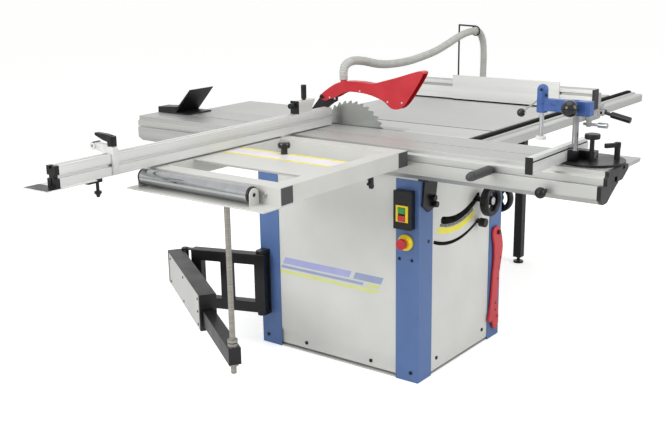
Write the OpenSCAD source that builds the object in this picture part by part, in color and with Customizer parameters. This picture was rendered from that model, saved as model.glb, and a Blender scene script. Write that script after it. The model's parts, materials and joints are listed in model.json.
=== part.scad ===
// Sliding table saw: steel cabinet, tilting and rising saw unit, sliding carriage with crosscut
// frame and swing arm, rip fence on a front rail, extension tables, blade guard and dust hose.
// Origin: centre of the cabinet's footprint on the floor. X runs along the sliding carriage
// towards the operator, Y from the carriage towards the rip fence, Z up.

/* [Cabinet] */
// Length of the cabinet along the carriage
cab_l = 720; // [680:5:760]
// Width of the cabinet across the carriage
cab_w = 600; // [580:5:640]
// Width of a post's leg along X
post_w = 95; // [80:1:110]
// Width of a post's leg along Y
post_d = 90; // [80:1:105]
// Sheet thickness of the posts
post_t = 4; // [3:0.5:6]
// Sheet thickness of the panels
panel_t = 3; // [2:0.5:4]
// Height of the panels' lower edge over the floor
panel_z = 12; // [8:1:20]
// Height of the stepped band along the foot of the left panel
band_h = 46; // [40:1:60]
// How far that band stands back
band_d = 8; // [6:0.5:9]
// Thickness of the cabinet's top plate
top_t = 8; // [6:0.5:10]

/* [Tables] */
// Height of the table tops over the floor
table_z = 850; // [845:1:860]
// Length of the main table along X
main_l = 800; // [780:5:820]
// Width of the main table along Y
main_w = 175; // [170:1:185]
// Thickness of the cast table plate
main_t = 12; // [10:0.5:14]
// Depth of the cast table's rim
main_rim = 45; // [42:1:48]
// Front edge of the tables, from the cabinet's centre
table_x = 405; // [400:1:410]
// Width of the right extension along Y
ext_w = 1100; // [1060:10:1120]
// Length of the outfeed extension along X
out_l = 468; // [420:4:480]
// Width of the outfeed extension along Y
out_w = 290; // [260:5:300]
// Sheet thickness of the extensions
ext_t = 4; // [3:0.5:5]
// Depth of the extensions' folded rim
ext_rim = 40; // [34:1:42]
// Width of the throat beside the blade
throat_w = 46; // [42:1:50]
// Side of the leg's square tube
leg_w = 40; // [36:1:44]
// Height of the leg's screw foot
foot_h = 30; // [24:1:36]

/* [Blade] */
// Diameter of the saw blade
blade_d = 315; // [300:1:320]
// Body thickness of the saw blade
blade_t = 3.2; // [2.6:0.1:3.6]
// Number of teeth
teeth = 36; // [24:2:48]
// Distance of the blade's plane from the cabinet's middle
blade_off = 50; // [48:1:52]
// Blade centre along X
blade_x = -97; // [-100:1:-94]
// Depth of the arbor under the table top at full height
arbor_drop = 63; // [62:1:66]
// Radius of the arbor shaft
arbor_r = 15; // [13:0.5:16]
// Radius of the blade flanges
flange_r = 30; // [26:1:34]
// Radius of both belt pulleys
pulley_r = 38; // [34:1:40]
// Radius of the motor's body
motor_r = 72; // [66:1:74]
// Length of the motor's body
motor_l = 145; // [130:1:150]
// Depth of the motor's shaft under the arbor
motor_drop = 147; // [144:1:152]
// Width of the blade guard
guard_w = 36; // [32:1:40]
// Wall of the blade guard
guard_wall = 3; // [2:0.5:4]

/* [Tilt] */
// Radius of the trunnion groove's middle
groove_r = 170; // [166:1:174]
// Width of the trunnion groove
groove_w = 20; // [18:1:22]
// Radius of the wide slot in the front panel
slot_r = 298; // [294:1:302]
// Width of that slot
slot_w = 27; // [24:1:28]
// Radius of the narrow slot for the tilt lock
lock_r = 381; // [376:1:386]
// Width of the narrow slot
lock_w = 13; // [11:0.5:14]
// Rest angle of the height handwheel, from straight down
wheel_a = 31; // [29:0.5:32]
// Rest angle of the tilt lock knob
lock_a = 25; // [24:0.5:26]
// Radius of both handwheels
wheel_r = 58; // [54:1:62]
// Radius of the handwheel shafts
shaft_r = 10; // [9:0.5:10.5]
// Radius of the lifting guide columns
column_r = 12; // [11:0.5:13]
// Radius of the lifting screw
screw_r = 9; // [8:0.5:10]

/* [Carriage] */
// Length of the sliding carriage
slide_l = 2000; // [1900:20:2040]
// Middle of the carriage along X at rest
slide_x = 21; // [15:1:30]
// Width of the carriage's top
slide_w = 258; // [254:1:260]
// Height of the carriage
slide_h = 42; // [41:0.5:43]
// Length of the fixed beam
beam_l = 1975; // [1880:20:2000]
// Height of the fixed beam
beam_h = 59; // [57:0.5:59]
// Width of the carriage's T-slot
tee_w = 9; // [8:0.5:10]
// Diameter of the push handle's grip
grip_d = 30; // [26:1:34]
// Length of the push handle's grip
grip_l = 130; // [110:1:140]

/* [Crosscut] */
// Length of the crosscut frame along X
frame_l = 555; // [548:1:560]
// Depth of the crosscut frame along Y
frame_w = 655; // [645:1:665]
// Width of the frame's tubes
tube_w = 55; // [50:1:56]
// Height of the frame's tubes
tube_h = 54; // [50:1:58]
// Width of the slat across the frame
slat_w = 235; // [200:5:240]
// Radius of the infeed roller
roller_r = 24; // [22:1:25]
// Length of the infeed roller
roller_l = 450; // [420:5:456]
// Length of the crosscut fence
fence_l = 1284; // [1200:6:1290]
// Thickness of the crosscut fence
fence_t = 38; // [34:1:42]
// Height of the crosscut fence
fence_h = 64; // [58:1:70]
// Radius of the mitre gauge's disc
mitre_r = 98; // [90:1:98]
// Length of the mitre gauge's fence
mitre_l = 395; // [360:5:400]
// Radius of the hold-down column
hold_r = 9.5; // [9:0.5:10]

/* [Rip fence] */
// Length of the front rail along Y
rail_l = 1488; // [1440:8:1500]
// Depth of the front rail along X
rail_w = 74; // [70:1:76]
// Length of the rip fence profile
rip_l = 855; // [820:5:860]
// Thickness of the rip fence profile
rip_t = 55; // [48:1:56]
// Height of the rip fence profile
rip_h = 82; // [76:1:84]
// Length of the tall fence plate
tall_l = 500; // [460:5:520]
// Height of the tall fence plate
tall_h = 108; // [100:1:112]
// Face of the rip fence at rest, from the cabinet's middle
rip_y = 735; // [700:5:750]

/* [Swing arm] */
// Height of the swing frame
swing_h = 235; // [220:1:240]
// Side of the swing frame's square tube
swing_t = 42; // [38:1:44]
// Length of the swing frame between its two hinge axes
swing_l = 319; // [310:1:325]
// Length of the arm's box
arm_l = 560; // [540:1:570]
// Width of the arm's box
arm_w = 60; // [58:1:64]
// Height of the arm's box
arm_h = 130; // [120:1:134]
// Width of the sliding tube
inner_w = 40; // [36:1:42]
// Height of the sliding tube
inner_h = 55; // [50:1:56]
// Radius of the support rod
rod_r = 9; // [8:0.5:10]

/* [Hose] */
// Outer radius of the dust hose over its ribs
hose_r = 16.5; // [15:0.5:18]
// Radius of the hose's bore
hose_bore = 13.5; // [12:0.5:14]
// Number of ribs
hose_ribs = 190; // [120:1:200]

/* [Fits] */
// Gap between moving faces
gap = 0.5; // [0.3:0.1:0.8]
// Radial clearance of a shaft in its bore
run = 0.05; // [0.02:0.01:0.1]

/* [Hidden] */
$fn = 48;

grey = "#c9c9c4";
blue = "#5f7baf";
black = "#262626";
alloy = "#c2c3c0";
white = "#e8e8e3";
steel = "#9fa1a2";
red = "#c8202c";
yellow = "#f2d21c";

blade_y = -blade_off;
main_y = blade_y - 5;
ext_y = main_y + main_w;
rear_x = table_x - main_l;
carriage_y = blade_y - 10;
slide_gap = 0.4;
slide_z = table_z - slide_h;
beam_top = slide_z - slide_gap;
beam_z = beam_top - beam_h;
plate_z = beam_z - 3;
post_h = plate_z - top_t;
arbor_z = table_z - arbor_drop;
motor_z = arbor_z - motor_drop;
front_y = carriage_y - slide_w - 9;
in_x = cab_l/2 - post_t;
in_y = cab_w/2 - post_t;

// A box given by its two ends on each axis
module span(x, y, z) {
  translate([x[0], y[0], z[0]])
    cube([x[1] - x[0], y[1] - y[0], z[1] - z[0]]);
}

// A flat shape drawn in Y and Z, drawn out along X
module along_x(x) {
  translate([x[0], 0, 0])
    rotate([90, 0, 90])
      linear_extrude(x[1] - x[0])
        children();
}

// A flat shape drawn in X and Z, drawn out along Y
module along_y(y) {
  translate([0, y[1], 0])
    rotate([90, 0, 0])
      linear_extrude(y[1] - y[0])
        children();
}

module rod_x(x, y, z, r) {
  translate([x[0], y, z])
    rotate([0, 90, 0])
      cylinder(h = x[1] - x[0], r = r);
}

module rod_y(x, y, z, r) {
  translate([x, y[0], z])
    rotate([-90, 0, 0])
      cylinder(h = y[1] - y[0], r = r);
}

module rod_z(x, y, z, r) {
  translate([x, y, z[0]])
    cylinder(h = z[1] - z[0], r = r);
}

// A ring sector about the tilt axis, angles counted from straight down towards +Y
module tilt_sector(x, r, a) {
  far = 2*r[1];
  mid = (a[0] + a[1])/2;
  translate([0, blade_y, table_z])
    along_x(x)
      intersection() {
        difference() {
          circle(r[1], $fn = 96);
          circle(r[0], $fn = 96);
        }
        polygon([[0, 0], far*[sin(a[0]), -cos(a[0])], far*[sin(mid), -cos(mid)],
                 far*[sin(a[1]), -cos(a[1])]]);
      }
}

function tilt_point(r, a) = [blade_y + r*sin(a), table_z - r*cos(a)];

// Cabinet

front_cut = cab_l/2 - 232;
rear_cut = 58 - cab_l/2;
cross_h = table_z - main_rim - plate_z;
cross_front = [front_cut, front_cut + 40];
cross_rear = [rear_cut - 43, rear_cut - 18];
cross_y = [-200, in_y - 6];
trunnion_front = [front_cut - 22, front_cut - 6];
trunnion_rear = [rear_cut - 18, rear_cut - 2];
groove = [groove_r - groove_w/2, groove_r + groove_w/2];
groove_a = [-42, 47];

module trunnion(x, web_x) {
  rib_y = [50, 140];
  difference() {
    union() {
      tilt_sector(x, [groove[0] - 15, groove[1] + 15], [groove_a[0] - 6, groove_a[1] + 8]);
      span(web_x, rib_y, [plate_z - 40, plate_z + cross_h - 5]);
      span(x, rib_y, [tilt_point(groove[1] + 8, groove_a[1] + 6)[1], plate_z + cross_h - 5]);
    }
    tilt_sector([x[0] - 1, x[1] + 1], [groove[0] - gap, groove[1] + gap], groove_a);
  }
}

module top_frame() {
  lap = 1;
  half = [cab_l/2 - lap, cab_w/2 - lap];
  color(grey) {
    difference() {
      span([-half[0], half[0]], [-half[1], half[1]], [post_h, plate_z]);
      span([rear_cut, front_cut], [-in_y + 16, in_y - 16], [post_h - 1, plate_z + 1]);
    }
    span(cross_front, cross_y, [plate_z, plate_z + cross_h]);
    span(cross_rear, cross_y, [plate_z, plate_z + cross_h]);
    trunnion(trunnion_front, [trunnion_front[0], front_cut]);
    trunnion(trunnion_rear, trunnion_rear);
  }
}

spindle_x = cab_l/2 - 42;
spindle_z = 541;

module post() {
  span([cab_l/2 - post_w, cab_l/2], [cab_w/2 - post_t, cab_w/2], [0, post_h]);
  span([cab_l/2 - post_t, cab_l/2], [cab_w/2 - post_d, cab_w/2], [0, post_h]);
  span([cab_l/2 - post_w + 10, cab_l/2], [cab_w/2 - post_d + 10, cab_w/2], [0, post_t]);
}

module corner_posts() {
  color(blue) {
    difference() {
      post();
      rod_y(spindle_x, [in_y - 5, cab_w/2 + 5], spindle_z, shaft_r + run);
    }
    mirror([1, 0, 0])
      post();
    mirror([0, 1, 0])
      post();
    mirror([1, 0, 0])
      mirror([0, 1, 0])
        post();
    span([-in_x, in_x], [-in_y, in_y], [0, post_t]);
  }
}

module left_panel() {
  slope = 21;
  fold = band_d - in_y;
  step = panel_z + band_h;
  color(grey)
    along_x([-in_x + 8, in_x - 8])
      polygon([[fold, panel_z], [fold + panel_t, panel_z], [fold + panel_t, step],
               [panel_t - in_y, step + slope], [panel_t - in_y, post_h], [-in_y, post_h],
               [-in_y, step + slope], [fold, step]]);
}

slot_a = [wheel_a - 45 - 3, wheel_a + 3];
lock_slot_a = [lock_a - 45 - 2, lock_a + 2];

module arc_slot(r, w, a) {
  x = [in_x - panel_t - 2, in_x + 2];
  tilt_sector(x, [r - w/2, r + w/2], a);
  for (end = a)
    rod_x(x, tilt_point(r, end)[0], tilt_point(r, end)[1], w/2 - 0.5);
}

module front_panel() {
  color(grey)
    difference() {
      span([in_x - panel_t, in_x], [-in_y + 8, in_y - 8], [panel_z, post_h]);
      arc_slot(slot_r, slot_w, slot_a);
      arc_slot(lock_r, lock_w, lock_slot_a);
    }
}

port_x = 160 - cab_l/2;
port_z = 165;
port_r = 50;
hose_port_z = 300;

module right_panel() {
  color(grey)
    difference() {
      span([-in_x + 8, in_x - 8], [in_y - panel_t, in_y], [panel_z, post_h]);
      rod_y(spindle_x, [in_y - panel_t - 1, in_y + 1], spindle_z, shaft_r + 1);
      rod_y(port_x, [in_y - panel_t - 1, in_y + 1], port_z, port_r - 3);
      rod_y(port_x, [in_y - panel_t - 1, in_y + 1], hose_port_z, hose_bore - 4);
    }
}

module rear_panel() {
  louvre_z = [420, 450, 480, 510, 540];
  color(grey)
    difference() {
      span([-in_x, -in_x + panel_t], [-in_y + 8, in_y - 8], [panel_z, post_h]);
      for (z = louvre_z)
        span([-in_x - 1, -in_x + panel_t + 1], [-90, 90], [z, z + 8]);
    }
}

hose_sides = 8;
spigot_r = hose_bore*cos(180/hose_sides) - 0.3;

module dust_port() {
  flange_t = 6;
  wall = 3;
  y = in_y + flange_t;
  color(black)
    difference() {
      union() {
        span([port_x - 62, port_x + 62], [in_y, y], [port_z - 62, hose_port_z + 30]);
        rod_y(port_x, [in_y, y + 78], port_z, port_r);
        rod_y(port_x, [in_y, y + 36], hose_port_z, spigot_r);
      }
      rod_y(port_x, [in_y - 1, y + 80], port_z, port_r - wall);
      rod_y(port_x, [in_y - 1, y + 80], hose_port_z, spigot_r - wall);
    }
}

screw_head_r = 7;
screw_head_h = 3;
hang_z = 432;
hang_y = 258;
stick_t = 10;
hang_gap = 2;
stick_x = cab_l/2 + hang_gap;

module panel_screws() {
  low_z = 55;
  band_y = band_d - in_y;
  color(black) {
    for (x = [-150, 150])
      rod_y(x, [band_y - screw_head_h, band_y], panel_z + band_h/2, screw_head_r);
    for (y = [-170, 170])
      rod_x([in_x, in_x + screw_head_h], y, low_z, screw_head_r);
    for (x = [-cab_l/2 + 30, cab_l/2 - 30])
      rod_y(x, [-cab_w/2 - screw_head_h, -cab_w/2], low_z - 20, screw_head_r);
    rod_x([cab_l/2, stick_x + stick_t + gap], hang_y, hang_z, 5);
    rod_x([stick_x + stick_t + gap, stick_x + stick_t + gap + 5], hang_y, hang_z, 9);
  }
}

// Tables

module main_table() {
  rim = 12;
  y = [main_y, ext_y];
  rib_z = [table_z - main_rim, table_z - main_t];
  cut_x = [rear_cut - 33, front_cut + 7];
  color(steel)
    difference() {
      union() {
        span([rear_x, table_x], y, [table_z - main_t, table_z]);
        span([rear_x, table_x], [ext_y - rim, ext_y], [table_z - main_rim, table_z]);
        span([rear_x, rear_x + rim], y, [table_z - main_rim, table_z]);
        span([table_x - rim, table_x], y, [table_z - main_rim, table_z]);
        span([rear_x, table_x], [main_y, main_y + rim], rib_z);
        span([cut_x[1], cross_front[1]], y, rib_z);
        span([cross_rear[0], cut_x[0]], y, rib_z);
      }
      span(cut_x, [main_y - 1, blade_y + throat_w], [table_z - main_rim - 1, table_z + 1]);
    }
}

insert_t = 6;
insert_x = [rear_cut - 33, front_cut + 7];

module table_insert() {
  lip = 4;
  edge = blade_y + 4;
  far = blade_y + throat_w;
  color(alloy) {
    span(insert_x, [edge, far], [table_z - insert_t, table_z]);
    span(insert_x, [far - 12, far], [table_z - main_t - lip, table_z - insert_t]);
  }
}

module folded_table(x, y) {
  span(x, y, [table_z - ext_t, table_z]);
  span(x, [y[0], y[0] + ext_t], [table_z - ext_rim, table_z]);
  span(x, [y[1] - ext_t, y[1]], [table_z - ext_rim, table_z]);
  span([x[0], x[0] + ext_t], y, [table_z - ext_rim, table_z]);
  span([x[1] - ext_t, x[1]], y, [table_z - ext_rim, table_z]);
}

ext_far = ext_y + ext_w;

module right_extension() {
  rib_y = ext_y + ext_w/2;
  color(alloy) {
    folded_table([rear_x, table_x], [ext_y, ext_far]);
    span([rear_x, table_x], [rib_y - ext_t, rib_y], [table_z - ext_rim, table_z - ext_t]);
  }
}

module outfeed_extension() {
  color(alloy)
    folded_table([rear_x - out_l, rear_x], [main_y, main_y + out_w]);
}

module extension_leg() {
  x = 0;
  y = ext_far - leg_w/2 - 2;
  top = table_z - ext_rim;
  plate = 4;
  wall = 3;
  color(black) {
    span([x - 55, x + 55], [y - leg_w/2, ext_far], [top - plate, top]);
    difference() {
      span([x - leg_w/2, x + leg_w/2], [y - leg_w/2, y + leg_w/2], [foot_h, top - plate]);
      span([x - leg_w/2 + wall, x + leg_w/2 - wall], [y - leg_w/2 + wall, y + leg_w/2 - wall],
           [foot_h + 8, top]);
    }
    rod_z(x, y, [8, foot_h], 8);
    rod_z(x, y, [0, 10], 24);
  }
}

rail_x = table_x;
rail_top = table_z - 4;
rail_face = rail_x + rail_w;
rail_y = main_y + 1;
rail_step = 6;

module rip_rail() {
  strip = 19;
  step = rail_step;
  low = rail_top - 50;
  color(alloy)
    along_y([rail_y, rail_y + rail_l])
      polygon([[rail_x, rail_top], [rail_x + strip, rail_top], [rail_x + strip, rail_top - step],
               [rail_face - 34, rail_top - step], [rail_face - 34, rail_top - 2*step],
               [rail_face - 4, rail_top - 2*step], [rail_face, rail_top - 2*step - 4], [rail_face, low + 6],
               [rail_face - 12, low], [rail_x + 40, low], [rail_x + 40, low + 14], [rail_x, low + 14]]);
}

// Sliding carriage and its beam

guide_y = carriage_y - 200;
guide_w = 20;
guide_h = 18;
beam_x = [slide_x - beam_l/2, slide_x + beam_l/2];
carriage_x = [slide_x - slide_l/2, slide_x + slide_l/2];
beam_front = front_y - 13;

module slide_beam() {
  cap = 8;
  color(alloy)
    difference() {
      along_x(beam_x)
        beam_outline();
      along_x([beam_x[0] - 1, beam_x[1] - cap])
        beam_hollow();
      rod_y(lock_x, [beam_front - 1, beam_front + 12], lock_z, lock_pin + run);
    }
}

module beam_outline() {
  polygon([[beam_front, beam_top], [beam_front, beam_z + 18], [beam_front + 22, beam_z],
           [beam_front + 52, beam_z], [beam_front + 74, beam_z + 15], [beam_front + 118, beam_z + 40],
           [beam_front + 135, beam_z + 48], [beam_front + 135, beam_top],
           [guide_y + guide_w/2, beam_top], [guide_y + guide_w/2, beam_top + guide_h],
           [guide_y - guide_w/2, beam_top + guide_h], [guide_y - guide_w/2, beam_top]]);
}

module beam_hollow() {
  polygon([[beam_front + 14, beam_top - 8], [beam_front + 14, beam_z + 22], [beam_front + 26, beam_z + 8],
           [beam_front + 50, beam_z + 8], [beam_front + 70, beam_z + 23], [beam_front + 118, beam_top - 8]]);
}

tee_y = carriage_y - 140;

module slide_carriage() {
  flange = 12;
  skirt = 22;
  color(alloy)
    along_x(carriage_x)
      difference() {
        polygon([[carriage_y - slide_w, table_z], [carriage_y, table_z], [carriage_y, table_z - 3],
                 [carriage_y - 9, table_z - flange], [carriage_y - 95, table_z - flange],
                 [carriage_y - 147, slide_z], [front_y, slide_z], [front_y, slide_z + skirt],
                 [carriage_y - slide_w, slide_z + skirt + 6]]);
        polygon([[guide_y - guide_w/2 - gap, slide_z - 1], [guide_y + guide_w/2 + gap, slide_z - 1],
                 [guide_y + guide_w/2 + gap, beam_top + guide_h + gap],
                 [guide_y - guide_w/2 - gap, beam_top + guide_h + gap]]);
        polygon([[tee_y - tee_w/2, table_z + 1], [tee_y - tee_w/2, table_z - 5], [tee_y - tee_w, table_z - 5],
                 [tee_y - tee_w, table_z - 10], [tee_y + tee_w, table_z - 10], [tee_y + tee_w, table_z - 5],
                 [tee_y + tee_w/2, table_z - 5], [tee_y + tee_w/2, table_z + 1]]);
      }
}

module beam_brackets() {
  depth = 40;
  thick = 8;
  seat = beam_front + 52;
  color(black)
    for (side = [0, 1])
      mirror([side, 0, 0]) {
        along_x([cab_l/2, cab_l/2 + thick])
          polygon([[beam_front + 28, beam_z], [seat, beam_z], [beam_front + 74, beam_z + 15],
                   [beam_front + 118, beam_z + 40], [beam_front + 135, beam_z + 48],
                   [beam_front + 145, beam_z - 33], [beam_front + 128, beam_z - 118],
                   [beam_front + 90, beam_z - 128],
                   [beam_front + 51, beam_z - 100], [beam_front + 62, beam_z - 16]]);
        span([cab_l/2, cab_l/2 + depth], [beam_front + 28, seat], [beam_z - thick, beam_z]);
        for (knob = [[seat + 56, beam_z - 80], [seat + 69, beam_z - 105]]) {
          rod_x([cab_l/2 + thick - 1, cab_l/2 + thick + 5], knob[0], knob[1], 6);
          rod_x([cab_l/2 + thick + 4, cab_l/2 + thick + 16], knob[0], knob[1], 11);
        }
      }
  color(black) {
    for (z = [swing_z[0] - gap - lug_t, swing_z[1] + gap]) {
      span([hinge[0] - lug_r, hinge[0] + lug_r], [hinge[1], -cab_w/2], [z, z + lug_t]);
      rod_z(hinge[0], hinge[1], [z, z + lug_t], lug_r);
    }
    span([hinge[0] - lug_r, hinge[0] + lug_r], [-cab_w/2 - 4, -cab_w/2],
         [swing_z[0] - gap - lug_t, swing_z[1] + gap + lug_t]);
    rod_z(hinge[0], hinge[1], [swing_z[0] - gap - lug_t, swing_z[1] + gap + lug_t], pin_r);
  }
}

lock_x = 833;
lock_z = beam_z + 26;
lock_pin = 6;

module carriage_lock() {
  stem = 22;
  color(black) {
    rod_y(lock_x, [beam_front - stem, beam_front + 9], lock_z, lock_pin);
    translate([lock_x, beam_front - stem - 12, lock_z])
      sphere(17.5);
  }
}

handle_x = 645;
handle_z = slide_z + 10;

module carriage_handle() {
  bolt = 14;
  color(black) {
    rod_y(handle_x, [front_y - bolt, front_y], handle_z, 8);
    rod_y(handle_x, [front_y - bolt - grip_l, front_y - bolt], handle_z, grip_d/2 - 2);
    translate([handle_x, front_y - bolt - grip_l, handle_z])
      sphere(grip_d/2 - 2);
    rod_y(handle_x, [front_y - bolt - grip_l + 10, front_y - bolt - 10], handle_z, grip_d/2);
  }
}

shoe_x = carriage_x[0] + 2;

module rip_shoe() {
  thick = 6;
  base_l = 175;
  foot = shoe_x + 85;
  lean = 103;
  rise = 105;
  y = [carriage_y - 153, carriage_y - 18];
  block = [shoe_x, foot + 4];
  color(black) {
    span([shoe_x, shoe_x + base_l], y, [table_z, table_z + thick]);
    along_y(y)
      polygon([[foot, table_z + 1], [foot + 2*thick, table_z + 1], [foot + lean + thick, table_z + rise],
               [foot + lean, table_z + rise]]);
    along_y([y[0], y[0] + 60])
      polygon([[block[0], table_z + 1], [block[1], table_z + 1], [block[1] + 20, table_z + 30],
               [block[0], table_z + 24]]);
  }
}

// Crosscut frame, roller and fences on the carriage

frame_top = table_z - 2;
frame_low = frame_top - tube_h;
frame_y = front_y - 18;
frame_far = frame_y - frame_w;
frame_end = 340;
frame_x = [frame_end - frame_l, frame_end];
mount_t = 5;
roller_y = frame_far - 31;
roller_z = frame_top + 1 - roller_r;
roller_x = [frame_end - 525, frame_end - 525 + roller_l];
ear_t = 4;

module roller_ear(x) {
  span([x, x + ear_t], [roller_y - 20, roller_y + 20], [frame_low, roller_z]);
  rod_x([x, x + ear_t], roller_y, roller_z, 20);
}

module frame_tubes() {
  wall = 4;
  hollow_z = [frame_low + wall, frame_top - wall];
  difference() {
    union() {
      span(frame_x, [frame_y - tube_w, frame_y], [frame_low, frame_top]);
      span(frame_x, [frame_far, frame_far + tube_w], [frame_low, frame_top]);
      for (x = [frame_x[0], frame_x[1] - tube_w])
        span([x, x + tube_w], [frame_far, frame_y], [frame_low, frame_top]);
    }
    for (y = [frame_y - tube_w, frame_far])
      span([frame_x[0] - 1, frame_x[1] + 1], [y + wall, y + tube_w - wall], hollow_z);
    for (x = [frame_x[0], frame_x[1] - tube_w])
      span([x + wall, x + tube_w - wall], [frame_far + tube_w, frame_y - tube_w], hollow_z);
  }
}

module crosscut_frame() {
  plate = 4;
  rib_in = 40;
  rib_h = 20;
  boss = 24;
  slat_y = frame_y - 255;
  slat_x = [frame_x[0] + tube_w, frame_x[1] - tube_w];
  color(white)
    difference() {
      union() {
        frame_tubes();
        for (x = [frame_end - 440, frame_end - 115])
          span([x, x + 40], [frame_y, front_y], [slide_z + 1, slide_z + 20]);
        span(slat_x, [slat_y - slat_w, slat_y], [frame_top - plate, frame_top]);
        for (y = [slat_y - rib_in, slat_y - slat_w + rib_in])
          span(slat_x, [y, y + plate], [frame_top - rib_h, frame_top - 1]);
        span(frame_x, [frame_far - 75, frame_far + tube_w + 45], [frame_low - mount_t, frame_low]);
        roller_ear(roller_x[0] - ear_t - gap);
        roller_ear(roller_x[1] + gap);
        span([pivot[0] - boss, pivot[0] + boss], [pivot[1] - boss, pivot[1] + boss],
             [frame_top - pivot_t, frame_top - 1]);
      }
      rod_z(pivot[0], pivot[1], [frame_top - 2*pivot_t, frame_top + 1], pivot_r + run);
      rod_x([roller_x[0] - 20, roller_x[1] + 20], roller_y, roller_z, 6 + run);
    }
}

module roller() {
  color(steel)
    difference() {
      union() {
        rod_x(roller_x, roller_y, roller_z, roller_r);
        rod_x([roller_x[0] - ear_t - gap, roller_x[1] + ear_t + gap], roller_y, roller_z, 6);
      }
      rod_x([roller_x[0] + 12, roller_x[1] - 12], roller_y, roller_z, 3);
    }
}

clamp_x = frame_end - tube_w/2;
clamp_y = frame_y - 175;

module clamp_lever() {
  drop = 46;
  color(black) {
    rod_z(clamp_x, clamp_y, [frame_low - 14, frame_low - gap], 10);
    along_x([clamp_x - 6, clamp_x + 6])
      polygon([[clamp_y - 8, frame_low - 12], [clamp_y + 8, frame_low - 12],
               [clamp_y + 13, frame_low - drop + 8], [clamp_y + 10, frame_low - drop],
               [clamp_y - 1, frame_low - drop], [clamp_y - 4, frame_low - drop + 8]]);
    rod_y(clamp_x, [clamp_y - 16, clamp_y - 2], frame_low - 28, 5);
  }
}

fence_x = [-163 - fence_t, -163];
fence_z = table_z + 4;
fence_far = carriage_y - 30;
fence_near = fence_far - fence_l;
pivot = [-182, frame_y - tube_w/2];
pivot_r = 8;
pivot_t = 12;

module fence_section() {
  slot = 5;
  deep = 9;
  mid = fence_h/2;
  difference() {
    square([fence_t, fence_h]);
    for (side = [0, 1])
      translate([side*fence_t - (side == 1 ? deep : 0), mid - slot])
        square([deep, 2*slot]);
    translate([fence_t/2 - slot, fence_h - deep])
      square([2*slot, deep + 1]);
    translate([8 + deep, 6])
      square([fence_t - 2*deep - 16, mid - 2*slot]);
  }
}

module crosscut_fence() {
  plate = 4;
  plate_y = [fence_near - 40, fence_near + 140];
  mid = fence_x[0] + fence_t/2;
  screw_y = fence_near + 161;
  fence_rider();
  color(alloy) {
    along_y([fence_near, fence_far])
      translate([fence_x[0], fence_z])
        fence_section();
    rod_z(pivot[0], pivot[1], [frame_top + gap, fence_z], 18);
    rod_z(pivot[0], pivot[1], [frame_top - pivot_t - 2, fence_z], pivot_r);
    span([fence_x[0] - 60, fence_x[1] + 8], plate_y, [fence_z - plate + 1, fence_z]);
  }
  color(black) {
    span([fence_x[0] + 4, fence_x[1] - 4], [screw_y - 45, screw_y + 8], [fence_z - 12, fence_z]);
    rod_z(mid, screw_y, [fence_z - 44, fence_z - 11], 5);
    rod_z(mid, screw_y, [fence_z - 48, fence_z - 40], 11);
    translate([mid, screw_y, fence_z - 59])
      cylinder(h = 12, r1 = 4, r2 = 9);
  }
}

// Raised end block of the fence, with its grip and clamp screw
rider_h = 45;
rider_y = fence_far - 196;
rider_foot = fence_far - 128;
rider_tip = fence_far - 96;

module fence_rider() {
  mid = fence_x[0] + fence_t/2;
  z = fence_z + fence_h;
  inset = 2;
  grip = [10, 55];
  grip_y = rider_y + 52;
  color(alloy)
    along_x([fence_x[0] + inset, fence_x[1] - inset])
      polygon([[rider_y, z - 1], [rider_foot, z - 1], [rider_tip, z + rider_h], [rider_y, z + rider_h]]);
  color(black) {
    span([fence_x[0] + 1, fence_x[1] - 1], [rider_y - 5, rider_y + 1], [z - 1, z + rider_h + 2]);
    rod_z(mid, grip_y, [z + rider_h - 1, z + rider_h + 6], grip[0] - 3);
    rod_z(mid, grip_y, [z + rider_h + 5, z + rider_h + grip[1]], grip[0]);
    rod_y(mid, [rider_y - 16, rider_y - 2], z + rider_h - 14, 5);
    rod_y(mid, [rider_y - 30, rider_y - 15], z + rider_h - 14, 10);
  }
}

stop_y = fence_near + 215;

// Finger before the fence, arm over it to a pin behind it, clamp lever on top
module flip_stop() {
  w = 22;
  top = fence_z + fence_h + gap;
  x = [fence_x[1] + gap, fence_x[1] + gap + 8];
  y = [stop_y - w/2, stop_y + w/2];
  pin_x = fence_x[0] - 40;
  hub_x = fence_x[1] - 5;
  color(alloy)
    difference() {
      union() {
        along_y(y)
          polygon([[x[0], fence_z + 2], [x[1], fence_z + 2], [x[1], top + 16], [x[1] - 8, top + 26],
                   [pin_x, top + 27], [pin_x, top + 9], [fence_x[0], top], [x[0], top]]);
        rod_y(pin_x, [y[0] - 4, y[1] + 4], top + 18, 12);
      }
      rod_y(pin_x, [y[0] - 5, y[1] + 5], top + 18, 4);
    }
  color(black) {
    rod_z(hub_x, stop_y, [top + 22, top + 52], 14);
    along_y([stop_y - 8, stop_y + 8])
      polygon([[hub_x, top + 32], [hub_x - 32, top + 38], [hub_x - 66, top + 50], [hub_x - 66, top + 58],
               [hub_x - 20, top + 57], [hub_x, top + 54]]);
  }
}

// Mitre gauge with its hold-down clamp

mitre_c = [carriage_x[1] - 99, tee_y];
mitre_t = 8;
block_z = table_z + mitre_t + gap;
block_top = block_z + 32;
bar_t = 22;
bar_h = 48;
bar_x = [mitre_c[0] - 77, mitre_c[0] - 77 + bar_t];
bar_near = mitre_c[1] - 305;
hold = [bar_x[1] + 18, mitre_c[1] - 57];

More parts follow.
